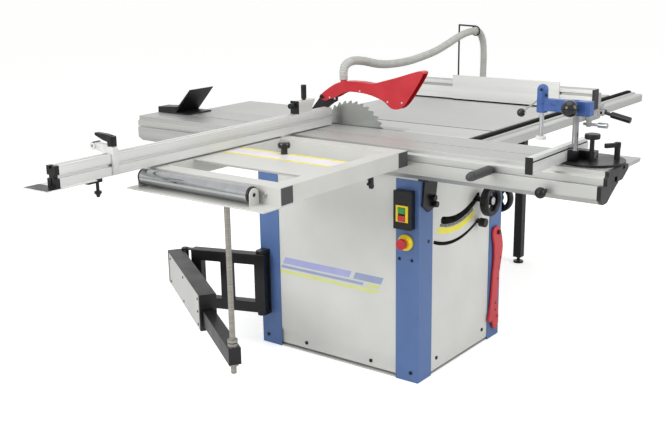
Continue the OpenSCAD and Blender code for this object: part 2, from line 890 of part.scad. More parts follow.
module mitre_base() {
  key = 8;
  key_y = [tee_y - tee_w/2 + gap, tee_y + tee_w/2 - gap];
  color(black) {
    difference() {
      rod_z(mitre_c[0], mitre_c[1], [table_z, table_z + mitre_t], mitre_r);
      rod_z(mitre_c[0], mitre_c[1], [table_z - 1, table_z + mitre_t + 1], 8 + run);
      rod_z(knob_c[0], knob_c[1], [table_z + 1, table_z + mitre_t + 1], 7 + run);
      rod_z(clamp_c[0], clamp_c[1], [table_z + 1, table_z + mitre_t + 1], 9 + run);
    }
    span([mitre_c[0] - 60, mitre_c[0] - 20], key_y, [table_z - key, table_z + 1]);
  }
}

module mitre_fence() {
  groove = 4;
  slot = 10;
  half = 16;
  seat = hold_r + 2;
  color(alloy)
    along_y([bar_near, bar_near + mitre_l])
      difference() {
        translate([bar_x[0], block_z])
          square([bar_t, bar_h]);
        translate([bar_x[1] - groove, block_z + bar_h - 14])
          square([groove + 1, groove]);
        translate([bar_x[0] - 1, block_z + bar_h/2 - slot/2])
          square([slot, slot]);
      }
  color(black) {
    span([bar_x[1] - 2, mitre_c[0] + 10], [mitre_c[1] - half, mitre_c[1] + half],
         [block_z + 1, block_z + 26]);
    span([bar_x[1] - 2, hold[0] + seat], [hold[1] - seat, hold[1] + seat], [block_z + 1, block_top]);
    rod_z(mitre_c[0], mitre_c[1], [table_z + 1, block_z + 10], 8);
  }
}

knob_c = [mitre_c[0] + 8, mitre_c[1] - 33];
knob_h = 85;
knob_r = 23.5;

module mitre_knob() {
  color(black) {
    rod_z(knob_c[0], knob_c[1], [table_z + 2, table_z + mitre_t + knob_h], 7);
    rod_z(knob_c[0], knob_c[1], [table_z + mitre_t + knob_h - 16, table_z + mitre_t + knob_h], knob_r);
  }
}

clamp_c = [mitre_c[0] + 60, mitre_c[1] + 40];

module mitre_lever() {
  z = table_z + mitre_t;
  top = z + 53;
  reach = 44;
  color(black) {
    rod_z(clamp_c[0], clamp_c[1], [table_z + 2, top], 9);
    translate([clamp_c[0], clamp_c[1], top - 16])
      rotate([0, 0, 235])
        linear_extrude(14)
          polygon([[-8, -7], [reach, -6], [reach, 6], [-8, 7]]);
  }
}

arm_z = block_top + 108;

module hold_down_column() {
  color(steel)
    rod_z(hold[0], hold[1], [block_top, arm_z + 40], hold_r);
}

head_x = hold[0] - 112;
head_w = 34;
plunger_r = 7;

module hold_down_arm() {
  h = 44;
  lever_l = 76;
  rise = 84;
  y = [hold[1] - head_w/2, hold[1] + head_w/2];
  color(blue)
    difference() {
      union() {
        span([head_x, hold[0] + 48], [hold[1] - 12, hold[1] + 12], [arm_z + 6, arm_z + h]);
        span([hold[0] - 24, hold[0] + 48], y, [arm_z, arm_z + h]);
        rod_z(head_x, hold[1], [arm_z, arm_z + rise - 14], head_w/2);
        translate([head_x, hold[1], arm_z + rise - 14])
          sphere(head_w/2);
      }
      rod_z(hold[0], hold[1], [arm_z - 1, arm_z + h + 1], hold_r + run);
      rod_z(head_x, hold[1], [arm_z - 1, arm_z + 62], plunger_r + run);
    }
  color(black) {
    rod_y(hold[0], [y[0] - 18, y[0] + 2], arm_z + 26, 7);
    translate([hold[0], y[0] - 34, arm_z + 26])
      sphere(25.5);
    translate([head_x - 10, hold[1], arm_z + 40])
      rotate([0, -128, 0]) {
        cylinder(h = lever_l, r = 3);
        translate([0, 0, lever_l])
          sphere(13.5);
      }
  }
}

module hold_down_plunger() {
  color(steel)
    rod_z(head_x, hold[1], [arm_z - 74, arm_z + 55], plunger_r);
  color(white)
    rod_z(head_x, hold[1], [arm_z - 84, arm_z - 74], 16);
}

// Rip fence on its rail

rip_z = table_z + 3;
rip_x = [rear_x + 65, rear_x + 65 + rip_l];
tall_x = [-115, -115 + tall_l];
tall_t = 8;
guide_x = [rail_x + 20, rail_face + 26];
guide_far = rip_y + rip_t + 88;

module rip_profile() {
  slot = 5;
  deep = 10;
  color(alloy)
    along_x(rip_x)
      difference() {
        translate([rip_y, rip_z])
          square([rip_t, rip_h]);
        translate([rip_y + 8, rip_z + 8])
          square([rip_t - 16, rip_h - 40]);
        translate([rip_y - 1, rip_z + rip_h - 26])
          square([deep, 2*slot]);
        translate([rip_y + rip_t - deep, rip_z + rip_h - 26])
          square([deep + 1, 2*slot]);
      }
  color(white)
    span(tall_x, [rip_y - tall_t, rip_y], [table_z + 1, table_z + 1 + tall_h]);
}

module rip_guide() {
  y = [rip_y + rip_t, guide_far];
  flange = 18;
  face = rail_face + gap;
  color(alloy) {
    span(guide_x, y, [rail_top + gap, rail_top + 62]);
    span([face, guide_x[1]], y, [rail_top - 46, rail_top + gap]);
    span([guide_x[1], guide_x[1] + flange], [y[0] + 8, y[1] - 8], [rail_top - 30, rail_top + 20]);
    span([guide_x[0] + 1, guide_x[0] + 18], y, [rail_top - rail_step + 0.3, rail_top + gap]);
    difference() {
      for (side = [-1, 1])
        span([guide_x[1] + flange, lever_x + 12],
             [lever_y + side*19 - 6, lever_y + side*19 + 6], [lever_z - 12, lever_z + 12]);
      rod_y(lever_x, [lever_y - 30, lever_y + 30], lever_z, lever_pin + run);
    }
    difference() {
      span([face + 1, face + 17], [micro_y - 10, micro_y + 10], [micro_z - 10, rail_top - 45]);
      rod_x([face, face + 18], micro_y, micro_z, micro_r + run);
    }
  }
}

lever_y = rip_y + rip_t + 44;
lever_z = rail_top - 12;
lever_x = guide_x[1] + 18 + 12;
lever_pin = 5;

module rip_lever() {
  color(black) {
    rod_y(lever_x, [lever_y - 12, lever_y + 12], lever_z, 11);
    rod_y(lever_x, [lever_y - 25, lever_y + 25], lever_z, lever_pin);
    translate([lever_x, lever_y, lever_z])
      rotate([0, 12, 0]) {
        rod_x([0, 40], 0, 0, 7);
        rod_x([36, 120], 0, 0, 13);
      }
  }
}

micro_z = rail_top - 62;
micro_y = rip_y + rip_t + 14;
micro_r = 6;

module micro_knob() {
  x = guide_x[1];
  color(steel) {
    rod_x([x - 40, x + 24], micro_y, micro_z, micro_r);
    rod_x([x + 24, x + 64], micro_y, micro_z, 11);
  }
}

// Switches

switch_x = [cab_l/2 - 86, cab_l/2 - 17];
switch_z = [567, 702];
switch_d = 30;
switch_y = -cab_w/2 - switch_d;
button_w = 28;
button_h = 21;
button_in = 8;
stem_r = 4;
stem_l = 16;
button_x = (switch_x[0] + switch_x[1])/2;
button_z = [switch_z[0] + 67, switch_z[0] + 40];

// The face of a button or its pocket, wider by the given margin
module button_block(y, z, margin) {
  w = button_w/2 + margin;
  h = button_h/2 + margin;
  span([button_x - w, button_x + w], y, [z - h, z + h]);
}

module switch_box() {
  color(black)
    difference() {
      span(switch_x, [switch_y, -cab_w/2], switch_z);
      for (z = button_z) {
        button_block([switch_y - 1, switch_y + button_in], z, gap);
        rod_y(button_x, [switch_y, switch_y + stem_l + button_in], z, stem_r + run);
      }
    }
}

module push_button(z) {
  out = 5;
  button_block([switch_y - out, switch_y + 1], z, 0);
  rod_y(button_x, [switch_y, switch_y + stem_l], z, stem_r);
}

module start_button() {
  color("green")
    push_button(button_z[0]);
}

module stop_button() {
  color(red)
    push_button(button_z[1]);
}

estop = [cab_l/2 - 51, 516];
estop_d = 18;

module estop_base() {
  color(yellow)
    difference() {
      union() {
        rod_y(estop[0], [-cab_w/2 - estop_d, -cab_w/2], estop[1], 24);
        rod_y(estop[0], [-cab_w/2 - estop_d + 6, -cab_w/2], estop[1], 29);
      }
      rod_y(estop[0], [-cab_w/2 - estop_d - 1, -cab_w/2 - estop_d + 15], estop[1], 10 + run);
    }
}

module estop_button() {
  y = -cab_w/2 - estop_d;
  color(red) {
    rod_y(estop[0], [y - 10, y + 8], estop[1], 10);
    rod_y(estop[0], [y - 22, y - 8], estop[1], 19);
  }
}

// Push stick, hung on its screw

stick_line = [[-26, 24], [4, 24], [22, 4], [36, -32], [43, -69], [32, -122], [19, -175], [14, -232],
              [10, -275], [19, -320], [23, -358], [16, -394], [-4, -396], [-22, -386], [-26, -366],
              [-42, -360],
              [-59, -348], [-50, -320], [-41, -261], [-37, -221], [-32, -162], [-24, -104], [-27, -47],
              [-39, -9], [-37, 16]];

module push_stick() {
  color(red)
    along_x([stick_x, stick_x + stick_t])
      translate([hang_y, hang_z])
        difference() {
          polygon(smooth_loop(stick_line, 2));
          circle(5 + gap);
        }
}

// Tilting and lifting unit

key_a = [5, 45];
cradle_front = [trunnion_front[0] - 14, trunnion_front[0] - 2];
cradle_rear = [trunnion_rear[1] + 2, trunnion_rear[1] + 14];
column_y = 110;
column_x = [cradle_rear[0] + 122, cradle_front[0] - 102];
screw_x = cradle_front[0] - 42;
bridge_low = [table_z - 302, table_z - 284];
bridge_high = [table_z - 74, table_z - 58];
bridge_y = [column_y - 17, column_y + 17];
wheel_p = tilt_point(slot_r, wheel_a);
lock_p = tilt_point(lock_r, lock_a);

module cradle_plate(x) {
  rim_z = bridge_high[0] - 31;
  along_x(x)
    polygon([[blade_y + 20, rim_z], [bridge_y[0] - 13, rim_z], [bridge_y[0] - 13, bridge_high[1]],
             [bridge_y[1], bridge_high[1]], [column_y + 40, boss_z[0]], [column_y + 80, lock_p[1] + 40],
             [lock_p[0] + 22, lock_p[1] - 20], [lock_p[0] - 30, lock_p[1] - 10],
             [blade_y + 30, bridge_low[0]], [blade_y, boss_z[0] + 10]]);
}

module tilt_cradle() {
  color(steel)
    difference() {
      union() {
        cradle_plate(cradle_front);
        cradle_plate(cradle_rear);
        tilt_sector([cradle_front[1] - 1, trunnion_front[1] - 4], groove, key_a);
        tilt_sector([trunnion_rear[0] + 4, cradle_rear[0] + 1], groove, key_a);
        span([cradle_rear[0], cradle_front[0]], bridge_y, bridge_low);
        span([cradle_rear[0], cradle_front[0]], bridge_y, bridge_high);
        for (x = column_x)
          rod_z(x, column_y, [bridge_low[0], bridge_high[1]], column_r);
        rod_x([cradle_front[0], in_x - panel_t - 6], lock_p[0], lock_p[1], 12);
      }
      rod_z(screw_x, wheel_p[0], [bridge_low[0] + 4, bridge_low[1] + 1], screw_r + run);
      rod_z(screw_x, wheel_p[0], [bridge_high[0] - 1, bridge_high[1] - 4], screw_r + run);
      rod_x([cradle_front[0] - 1, cradle_front[1] + 1], wheel_p[0], wheel_p[1], shaft_r + run);
      rod_x([in_x - panel_t - 30, in_x], lock_p[0], lock_p[1], 5 + run);
    }
}

gear_r = 16;

module lift_screw() {
  gear_z = wheel_p[1] + gear_r + 2;
  color(steel) {
    rod_z(screw_x, wheel_p[0], [bridge_low[0] + 5, bridge_high[1] - 5], screw_r);
    translate([screw_x, wheel_p[0], gear_z])
      cylinder(h = 10, r1 = gear_r - 6, r2 = gear_r + 4);
  }
}

hub_r = 17;

module handwheel_rim(deep) {
  ring_r = wheel_r - 21;
  edge = 6;
  spoke_w = 12;
  rotate_extrude()
    polygon([[ring_r + edge, 0], [wheel_r - edge, 0], [wheel_r, edge], [wheel_r, deep - edge],
             [wheel_r - edge, deep], [ring_r + edge, deep], [ring_r, deep - edge], [ring_r, edge]]);
  cylinder(h = deep - edge, r = hub_r);
  for (a = [90, 210, 330])
    rotate([0, 0, a])
      translate([-spoke_w/2, 0, edge + 2])
        cube([spoke_w, ring_r + 1, 9]);
}

wheel_x = cab_l/2 + 38;

module height_handwheel() {
  color(black)
    translate([wheel_x, wheel_p[0], wheel_p[1]])
      rotate([0, 90, 0])
        handwheel_rim(34);
  color(steel) {
    rod_x([screw_x + gear_r + 3, wheel_x], wheel_p[0], wheel_p[1], shaft_r);
    translate([screw_x + gear_r + 3, wheel_p[0], wheel_p[1]])
      rotate([0, 90, 0])
        cylinder(h = 10, r1 = shaft_r, r2 = gear_r);
  }
}

wheel_y = cab_w/2 + 48;

module tilt_handwheel() {
  color(black)
    translate([spindle_x, wheel_y, spindle_z])
      rotate([-90, 0, 0])
        handwheel_rim(28);
  color(steel)
    rod_y(spindle_x, [in_y - 70, wheel_y], spindle_z, shaft_r);
}

module tilt_lock_knob() {
  x = in_x + 14;
  color(black) {
    rod_x([in_x - panel_t - 28, x], lock_p[0], lock_p[1], 5);
    rod_x([x, x + 26], lock_p[0], lock_p[1], 17);
  }
}

housing_y = [blade_y + 14, 56];
web_y = [40, 56];
web_x = [-200, 10];
boss_z = [table_z - 210, table_z - 130];
nut_z = [table_z - 165, table_z - 125];
mount_y = [132, 140];

module arbor_carriage() {
  foot_z = [knife_low, knife_low + 45];
  color(steel)
    difference() {
      union() {
        rod_y(blade_x, housing_y, arbor_z, 32);
        span(web_x, web_y, [boss_z[0], arbor_z + 10]);
        for (x = column_x) {
          rod_z(x, column_y, boss_z, column_r + 11);
          span([x - 14, x + 14], [web_y[0], mount_y[1]], boss_z);
        }
        rod_z(screw_x, wheel_p[0], nut_z, screw_r + 11);
        span([column_x[1], screw_x], [wheel_p[0] - 9, wheel_p[0] + 9], [nut_z[0], boss_z[1]]);
        span(web_x, mount_y, [motor_z - 66, boss_z[1]]);
        span([knife_x[0], web_x[0] + 5], web_y, foot_z);
        span(knife_x, [blade_y + blade_t/2 + 1, web_y[1]], foot_z);
      }
      for (x = column_x)
        rod_z(x, column_y, [boss_z[0] - 1, boss_z[1] + 1], column_r + run);
      rod_z(screw_x, wheel_p[0], [nut_z[0] - 1, nut_z[1] + 1], screw_r + run);
      rod_y(blade_x, [housing_y[0] - 1, web_y[1] + 1], arbor_z, arbor_r + run);
      rod_y(blade_x, [mount_y[0] - 1, mount_y[1] + 1], motor_z, 16);
    }
}

pulley_y = [62, 82];

module motor() {
  y0 = mount_y[1];
  fin = 5;
  color(blue)
    difference() {
      union() {
        rod_y(blade_x, [y0, y0 + 12], motor_z, motor_r);
        rod_y(blade_x, [y0 + 12, y0 + motor_l], motor_z, motor_r - fin);
        for (i = [0:4])
          rod_y(blade_x, [y0 + 24 + 18*i, y0 + 32 + 18*i], motor_z, motor_r);
        rod_y(blade_x, [y0 + motor_l - 22, y0 + motor_l], motor_z, motor_r);
      }
      rod_y(blade_x, [y0 - 1, y0 + 60], motor_z, 14 + run);
    }
}

module pulley_wheel() {
  rotate([-90, 0, 0])
    rotate_extrude()
      polygon([[0, 0], [pulley_r, 0], [pulley_r - 4, 4], [pulley_r - 4, 16], [pulley_r, 20], [0, 20]]);
}

module motor_pulley() {
  color(steel) {
    translate([blade_x, pulley_y[0], motor_z])
      pulley_wheel();
    rod_y(blade_x, [pulley_y[1], mount_y[1] + 58], motor_z, 14);
  }
}

module drive_belt() {
  in_r = pulley_r - 4 + gap;
  out_r = in_r + 5;
  color(black)
    along_y([pulley_y[0] + 5, pulley_y[1] - 5])
      difference() {
        union() {
          for (z = [motor_z, arbor_z])
            translate([blade_x, z])
              circle(out_r);
          translate([blade_x - out_r, motor_z])
            square([2*out_r, motor_drop]);
        }
        for (z = [motor_z, arbor_z])
          translate([blade_x, z])
            circle(in_r);
        translate([blade_x - in_r, motor_z])
          square([2*in_r, motor_drop]);
      }
}

knife_t = 2.6;
knife_x = [blade_x - 187, blade_x - 161];
knife_low = table_z - 150;
knife_line = [[-292, 764], [-292, 896], [-249, 946], [-222, 956], [-163, 976], [-163, 764]];

module riving_knife() {
  clear = 7;
  wide = 64;
  color(black) {
    along_y([blade_y - knife_t/2, blade_y + knife_t/2])
      intersection() {
        difference() {
          translate([blade_x, arbor_z])
            circle(blade_d/2 + wide, $fn = 96);
          translate([blade_x, arbor_z])
            circle(blade_d/2 + clear, $fn = 96);
        }
        polygon(knife_line);
      }
    span(knife_x, [blade_y - knife_t/2, blade_y + blade_t/2 + 1], [knife_low, arbor_z - 10]);
  }
}

module saw_blade() {
  tip = blade_d/2;
  root = tip - 12;
  step = 360/teeth;
  outline = [for (i = [0:teeth - 1])
    each [root*[cos(i*step), sin(i*step)], tip*[cos(i*step + 1), sin(i*step + 1)],
          (tip - 1)*[cos(i*step + 3), sin(i*step + 3)],
          (root + 3)*[cos((i + 0.7)*step), sin((i + 0.7)*step)]]];
  color(steel)
    along_y([blade_y - blade_t/2, blade_y + blade_t/2])
      translate([blade_x, arbor_z])
        difference() {
          polygon(outline);
          circle(arbor_r);
        }
}

module arbor() {
  flange_t = 8;
  nut_t = 12;
  face = [blade_y - blade_t/2, blade_y + blade_t/2];
  color(steel) {
    rod_y(blade_x, [face[0] - flange_t - nut_t, pulley_y[1]], arbor_z, arbor_r);
    rod_y(blade_x, [face[1], face[1] + flange_t], arbor_z, flange_r);
    rod_y(blade_x, [face[0] - flange_t, face[0]], arbor_z, flange_r);
    rod_y(blade_x, [face[0] - flange_t - nut_t, face[0] - flange_t], arbor_z, arbor_r + 6);
    translate([blade_x, pulley_y[0], arbor_z])
      pulley_wheel();
  }
}

// Blade guard

guard_p = [-222, 953];
guard_top = [[-236, 954], [-210, 976], [-163, 1004], [-115, 1017], [-45, 1018], [6, 1015], [52, 1027],
             [117, 1045], [191, 1068], [216, 1072], [224, 1058]];
guard_low = [[173, 979], [144, 943], [119, 929], [89, 931], [63, 950], [35, 962], [-17, 975], [-92, 979],
             [-134, 968], [-158, 955], [-207, 938], [-229, 941]];
guard_line = concat(guard_top, guard_low);
spigot_x = -135;

// A smooth closed outline through hand-placed points
function loop_at(p, i) = p[(i + len(p)) % len(p)];
function bend(a, b, c, d, t) =
  0.5*(2*b + t*(c - a) + t*t*(2*a - 5*b + 4*c - d) + t*t*t*(3*b - a - 3*c + d));
function smooth_loop(p, n) =
  [for (i = [0:len(p) - 1], k = [0:n - 1])
    bend(loop_at(p, i - 1), p[i], loop_at(p, i + 1), loop_at(p, i + 2), k/n)];

module blade_guard() {
  steps = 3;
  half = guard_w/2;
  y = [blade_y - half, blade_y + half];
  slit = knife_t + 4;
  pin = 9;
  lower = 7;
  color(red)
    difference() {
      union() {
        along_y(y)
          polygon(smooth_loop(guard_line, steps));
        rod_z(spigot_x, blade_y, [1005, 1033], spigot_r);
        rod_y(guard_p[0], [y[0] - 6, y[1] + 6], guard_p[1], pin);
      }
      along_y([y[0] + guard_wall, y[1] - guard_wall])
        translate([0, -lower])
          polygon(smooth_loop(guard_line, steps));
      rod_z(spigot_x, blade_y, [980, 1060], spigot_r - 3);
      span([guard_line[0][0] - 10, guard_p[0]], [blade_y - slit/2, blade_y + slit/2],
           [guard_p[1] - 60, guard_p[1] + 60]);
      span([guard_p[0] - 1, guard_p[0] + pin + 1], [blade_y - slit/2, blade_y + slit/2],
           [guard_p[1] - pin - 1, guard_p[1] + pin + 1]);
    }
}

// Swing arm under the crosscut frame

hinge = [30 - cab_l/2, -cab_w/2 - 35];
swing_a = -161.34;
elbow = hinge + swing_l*[cos(swing_a), sin(swing_a)];
arm_a = -33.6;
swing_z = [140, 140 + swing_h];
arm_top = swing_z[1] - 10;
arm_side = -6;
tube_mid = arm_side - arm_w/2;
inner_top = arm_top - 55;
rod_u = 906;
knuckle_r = 14;
pin_r = 7;
lug_t = 12;
lug_r = 18;
elbow_z = [[swing_z[0] + 60, arm_top - arm_h - gap], [arm_top + gap, swing_z[1] - 1]];

module swing_frame() {
  half = swing_t/2;
  end = swing_l - 34;
  color(black)
    difference() {
      union() {
        translate([hinge[0], hinge[1], 0])
          rotate([0, 0, swing_a]) {
            for (z = [swing_z[0], swing_z[1] - swing_t])
              span([-half, end], [-half, half], [z, z + swing_t]);
            for (x = [-half, 120, end - swing_t])
              span([x, x + swing_t], [-half, half], swing_z);
            for (z = elbow_z)
              span([end - 5, swing_l], [-10, 10], [z[0] + 1, z[1] - 1]);
          }
        for (z = elbow_z)
          rod_z(elbow[0], elbow[1], z, knuckle_r);
      }
      rod_z(hinge[0], hinge[1], [swing_z[0] - 1, swing_z[1] + 1], pin_r + run);
      rod_z(elbow[0], elbow[1], [swing_z[0] - 1, swing_z[1] + 1], pin_r + run);
    }
}

module arm_box() {
  wall = 4;
  guide_end = 80;
  u = [-20, arm_l];
  z = [arm_top - arm_h, arm_top];
  hollow_z = [z[0] + wall, z[1] - wall];
  inner = [inner_top - inner_h - gap, inner_top + gap];
  color(black)
    translate([elbow[0], elbow[1], 0])
      rotate([0, 0, arm_a]) {
        difference() {
          span(u, [arm_side - arm_w, arm_side], z);
          span([u[0] + wall, u[1] - guide_end], [arm_side - arm_w + wall, arm_side - wall], hollow_z);
          span([u[0] + wall, u[1] + 1], [tube_mid - inner_w/2 - gap, tube_mid + inner_w/2 + gap], inner);
        }
        rod_z(0, 0, z, knuckle_r);
        span([-knuckle_r, knuckle_r], [arm_side - 1, 0], z);
        rod_z(0, 0, [elbow_z[0][0], elbow_z[1][1]], pin_r);
      }
}

rod_top = frame_low - mount_t - gap;

module arm_tube() {
  u = [arm_l - 180, rod_u + 24];
  wall = 4;
  z = [inner_top - inner_h, inner_top];
  nut = 10;
  translate([elbow[0], elbow[1], 0])
    rotate([0, 0, arm_a]) {
      color(black)
        difference() {
          span(u, [tube_mid - inner_w/2, tube_mid + inner_w/2], z);
          span([u[0] - 1, u[1] - 8], [tube_mid - inner_w/2 + wall, tube_mid + inner_w/2 - wall],
               [z[0] + wall, z[1] - wall]);
          rod_z(rod_u, tube_mid, [z[0] - 1, z[1] + 1], rod_r);
        }
      color(steel) {
        rod_z(rod_u, tube_mid, [z[0] - 36, rod_top], rod_r);
        rod_z(rod_u, tube_mid, [z[1], z[1] + nut], rod_r + 7);
        rod_z(rod_u, tube_mid, [z[1] + nut + 3, z[1] + 2*nut + 3], rod_r + 7);
        rod_z(rod_u, tube_mid, [z[0] - nut, z[0]], rod_r + 7);
      }
    }
}

// Dust hose and its hanger

hanger = [rear_x + 22, ext_far + 8];
ring_c = [-258, 1184, 1113];

module hose_hanger() {
  wire = 4;
  ring_r = hose_r + 5;
  top = ring_c[2] + ring_r;
  reach = [ring_c[0] - hanger[0], ring_c[1] - hanger[1]];
  color(black) {
    span([hanger[0] - 15, hanger[0] + 15], [ext_far, hanger[1] + 8], [table_z - 36, table_z - 6]);
    rod_z(hanger[0], hanger[1], [table_z - 20, top], wire);
    translate([hanger[0], hanger[1], top])
      sphere(wire);
    translate([hanger[0], hanger[1], top])
      rotate([0, 90, atan2(reach[1], reach[0])])
        cylinder(h = norm(reach), r = wire);
    translate(ring_c)
      rotate([90, 0, 0])
        rotate_extrude()
          translate([ring_r, 0])
            circle(3, $fn = 24);
  }
}

hose_line = [[spigot_x, blade_y, 1020], [spigot_x, blade_y, 1034], [spigot_x, blade_y, 1049],
             [-137, -34, 1073], [-143, 22, 1083], [-151, 100, 1075], [-162, 220, 1052], [-173, 330, 1041],
             [-186, 470, 1038], [-199, 600, 1044], [-213, 735, 1055], [-227, 870, 1077], [-239, 990, 1100],
             [-248, 1084, 1112], ring_c, [-261, 1234, 1096], [-260, 1262, 1056], [-258, 1268, 1000],
             [-256, 1264, 920], [-254, 1256, 830], [-250, 1250, 720], [-245, 1238, 590], [-237, 1206, 470],
             [-228, 1126, 362], [-218, 970, 306], [-209, 770, 288],
             [-203, 570, 288], [port_x, 430, 296], [port_x, 360, hose_port_z],
             [port_x, in_y + 6, hose_port_z]];

function line_at(p, i) = i < 0 ? 2*p[0] - p[1] : i > len(p) - 1 ? 2*p[len(p) - 1] - p[len(p) - 2] : p[i];
function line_point(p, s) =
  let (i = min(floor(s), len(p) - 2))
  bend(line_at(p, i - 1), p[i], p[i + 1], line_at(p, i + 2), s - i);
function unit(v) = v/norm(v);
function line_way(p, s) =
  let (e = 0.02, last = len(p) - 1)
  unit(line_point(p, min(s + e, last)) - line_point(p, max(s - e, 0)));

fine = 8;
fine_n = fine*(len(hose_line) - 1);
fine_s = [for (i = [0:fine_n]) i/fine];
fine_p = [for (s = fine_s) line_point(hose_line, s)];
fine_step = [for (i = [0:fine_n - 1]) norm(fine_p[i + 1] - fine_p[i])];
run_to = [for (i = 0, d = 0; i <= fine_n; d = d + (i < fine_n ? fine_step[i] : 0), i = i + 1) d];
hose_len = run_to[fine_n];

// Route value at a given length along the hose
function route_at(d) =
  let (below = [for (i = [0:fine_n - 1]) if (run_to[i] <= d) i], i = below[len(below) - 1])
  fine_s[i] + (d - run_to[i])/(run_to[i + 1] - run_to[i])/fine;

function hose_ring(s, r) =
  let (c = line_point(hose_line, s), w = line_way(hose_line, s),
       a = unit(cross(w, [1, 0.02, 0])), b = cross(w, a))
  [for (k = [0:hose_sides - 1]) c + r*(cos(360*k/hose_sides)*a + sin(360*k/hose_sides)*b)];

// Triangles between ring i and ring j of a tube
function band_faces(i, j) =
  [for (k = [0:hose_sides - 1])
    let (a = i*hose_sides + k, b = i*hose_sides + (k + 1) % hose_sides,
         c = j*hose_sides + k, d = j*hose_sides + (k + 1) % hose_sides)
    each [[a, c, b], [b, c, d]]];

module dust_hose() {
  groove_in = 2.2;
  pitch = hose_len/hose_ribs;
  outer = [for (i = [0:hose_ribs - 1]) each
    [[max(0.001, (i + 0.25)*pitch*(i == 0 ? 0 : 1)), hose_r - groove_in],
     [i == hose_ribs - 1 ? hose_len - 0.001 : (i + 0.75)*pitch, hose_r]]];
  bore_n = 64;
  sleeve = 14;
  along = concat([0.001, sleeve, 2*sleeve], [for (i = [1:bore_n - 1]) i*hose_len/bore_n],
                 [hose_len - 2*sleeve, hose_len - sleeve, hose_len - 0.001]);
  bore = [for (i = [len(along) - 1:-1:0]) [along[i], hose_bore]];
  rings = concat(outer, bore);
  points = [for (r = rings) each hose_ring(route_at(r[0]), r[1])];
  faces = [for (i = [0:len(rings) - 1]) each band_faces(i, (i + 1) % len(rings))];
  color(grey)
    polyhedron(points, faces);
}

top_frame();
corner_posts();
left_panel();
front_panel();
right_panel();
rear_panel();
dust_port();
main_table();
table_insert();
right_extension();
outfeed_extension();
extension_leg();
rip_rail();
slide_beam();
beam_brackets();
switch_box();
estop_base();
hose_hanger();
dust_hose();
panel_screws();
carriage_lock();
start_button();
stop_button();
estop_button();
push_stick();
tilt_handwheel();
tilt_cradle();
lift_screw();
height_handwheel();
tilt_lock_knob();
arbor_carriage();
motor();
motor_pulley();
drive_belt();
riving_knife();
saw_blade();
arbor();
blade_guard();
slide_carriage();
carriage_handle();
crosscut_frame();
roller();
clamp_lever();
rip_shoe();
crosscut_fence();
flip_stop();
mitre_base();
mitre_fence();
mitre_knob();
mitre_lever();
hold_down_column();
hold_down_arm();
hold_down_plunger();
rip_guide();
rip_profile();
rip_lever();
micro_knob();
swing_frame();
arm_box();
arm_tube();
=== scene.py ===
import json
import math

import bpy
from mathutils import Matrix, Vector

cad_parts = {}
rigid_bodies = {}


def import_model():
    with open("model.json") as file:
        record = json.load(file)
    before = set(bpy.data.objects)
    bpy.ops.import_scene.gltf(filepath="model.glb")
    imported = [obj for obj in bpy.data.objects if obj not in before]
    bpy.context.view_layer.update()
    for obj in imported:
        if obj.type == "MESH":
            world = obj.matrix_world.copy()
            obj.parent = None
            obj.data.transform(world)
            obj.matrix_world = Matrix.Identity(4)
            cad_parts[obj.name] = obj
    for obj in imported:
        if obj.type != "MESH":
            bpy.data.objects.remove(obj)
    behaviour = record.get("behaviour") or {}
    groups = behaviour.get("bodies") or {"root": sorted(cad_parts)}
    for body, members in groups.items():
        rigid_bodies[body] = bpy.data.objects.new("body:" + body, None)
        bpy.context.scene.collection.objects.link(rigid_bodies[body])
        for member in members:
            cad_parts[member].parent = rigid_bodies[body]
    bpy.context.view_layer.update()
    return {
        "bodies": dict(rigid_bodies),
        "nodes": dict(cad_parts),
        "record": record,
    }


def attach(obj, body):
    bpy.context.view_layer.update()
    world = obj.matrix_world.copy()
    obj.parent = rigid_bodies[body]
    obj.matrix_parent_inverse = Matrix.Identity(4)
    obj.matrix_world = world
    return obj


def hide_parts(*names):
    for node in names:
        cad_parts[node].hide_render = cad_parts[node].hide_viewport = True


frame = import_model()
nodes = frame["nodes"]
slotOf = {row["node"]: row["material_slot"] for row in frame["record"]["subparts"]}
bodyOf = {}
for nodeName, nodeObject in nodes.items():
    for bodyName, bodyEmpty in frame["bodies"].items():
        if nodeObject.parent == bodyEmpty:
            bodyOf[nodeName] = bodyName
print("frame loaded,", len(nodes), "nodes")

# camera, as the photograph was taken
camera = {"place": (2.08585, -3.06944, 1.4794), "yaw": 37.10, "pitch": 15.11, "roll": 0.845, "lens": 53.77,
          "sensor": 36, "reach": 200}
bpy.ops.object.camera_add(location=camera["place"])
sawCamera = bpy.context.object
aim = Matrix.Rotation(math.radians(camera["yaw"]), 3, "Z")
aim = aim @ Matrix.Rotation(math.radians(90 - camera["pitch"]), 3, "X")
aim = aim @ Matrix.Rotation(math.radians(-camera["roll"]), 3, "Z")
sawCamera.rotation_euler = aim.to_euler()
sawCamera.data.sensor_width = camera["sensor"]
sawCamera.data.lens = camera["lens"]
sawCamera.data.clip_end = camera["reach"]
bpy.context.scene.camera = sawCamera
bpy.context.scene.view_settings.view_transform = "Standard"
print("camera placed")


def linear(hexColour):
    values = []
    for i in (1, 3, 5):
        part = int(hexColour[i:i + 2], 16) / 255
        values.append(part / 12.92 if part <= 0.04045 else ((part + 0.055) / 1.055) ** 2.4)
    return (*values, 1)


def addNode(tree, kind, settings=None, links=None):
    node = tree.nodes.new(kind)
    for key, value in (settings or {}).items():
        if isinstance(key, int) or key in node.inputs:  # a number where two inputs share a name
            node.inputs[key].default_value = value
        else:
            setattr(node, key, value)
    for key, (source, output) in (links or {}).items():
        tree.links.new(source.outputs[output], node.inputs[key])
    return node


# how every finish reads its noise: the span where most of it lies, its detail, how hard the grain stands up
noise = {"span": (0.3, 0.7), "patchDetail": 3, "grainDetail": 2, "grainStrength": 0.6}


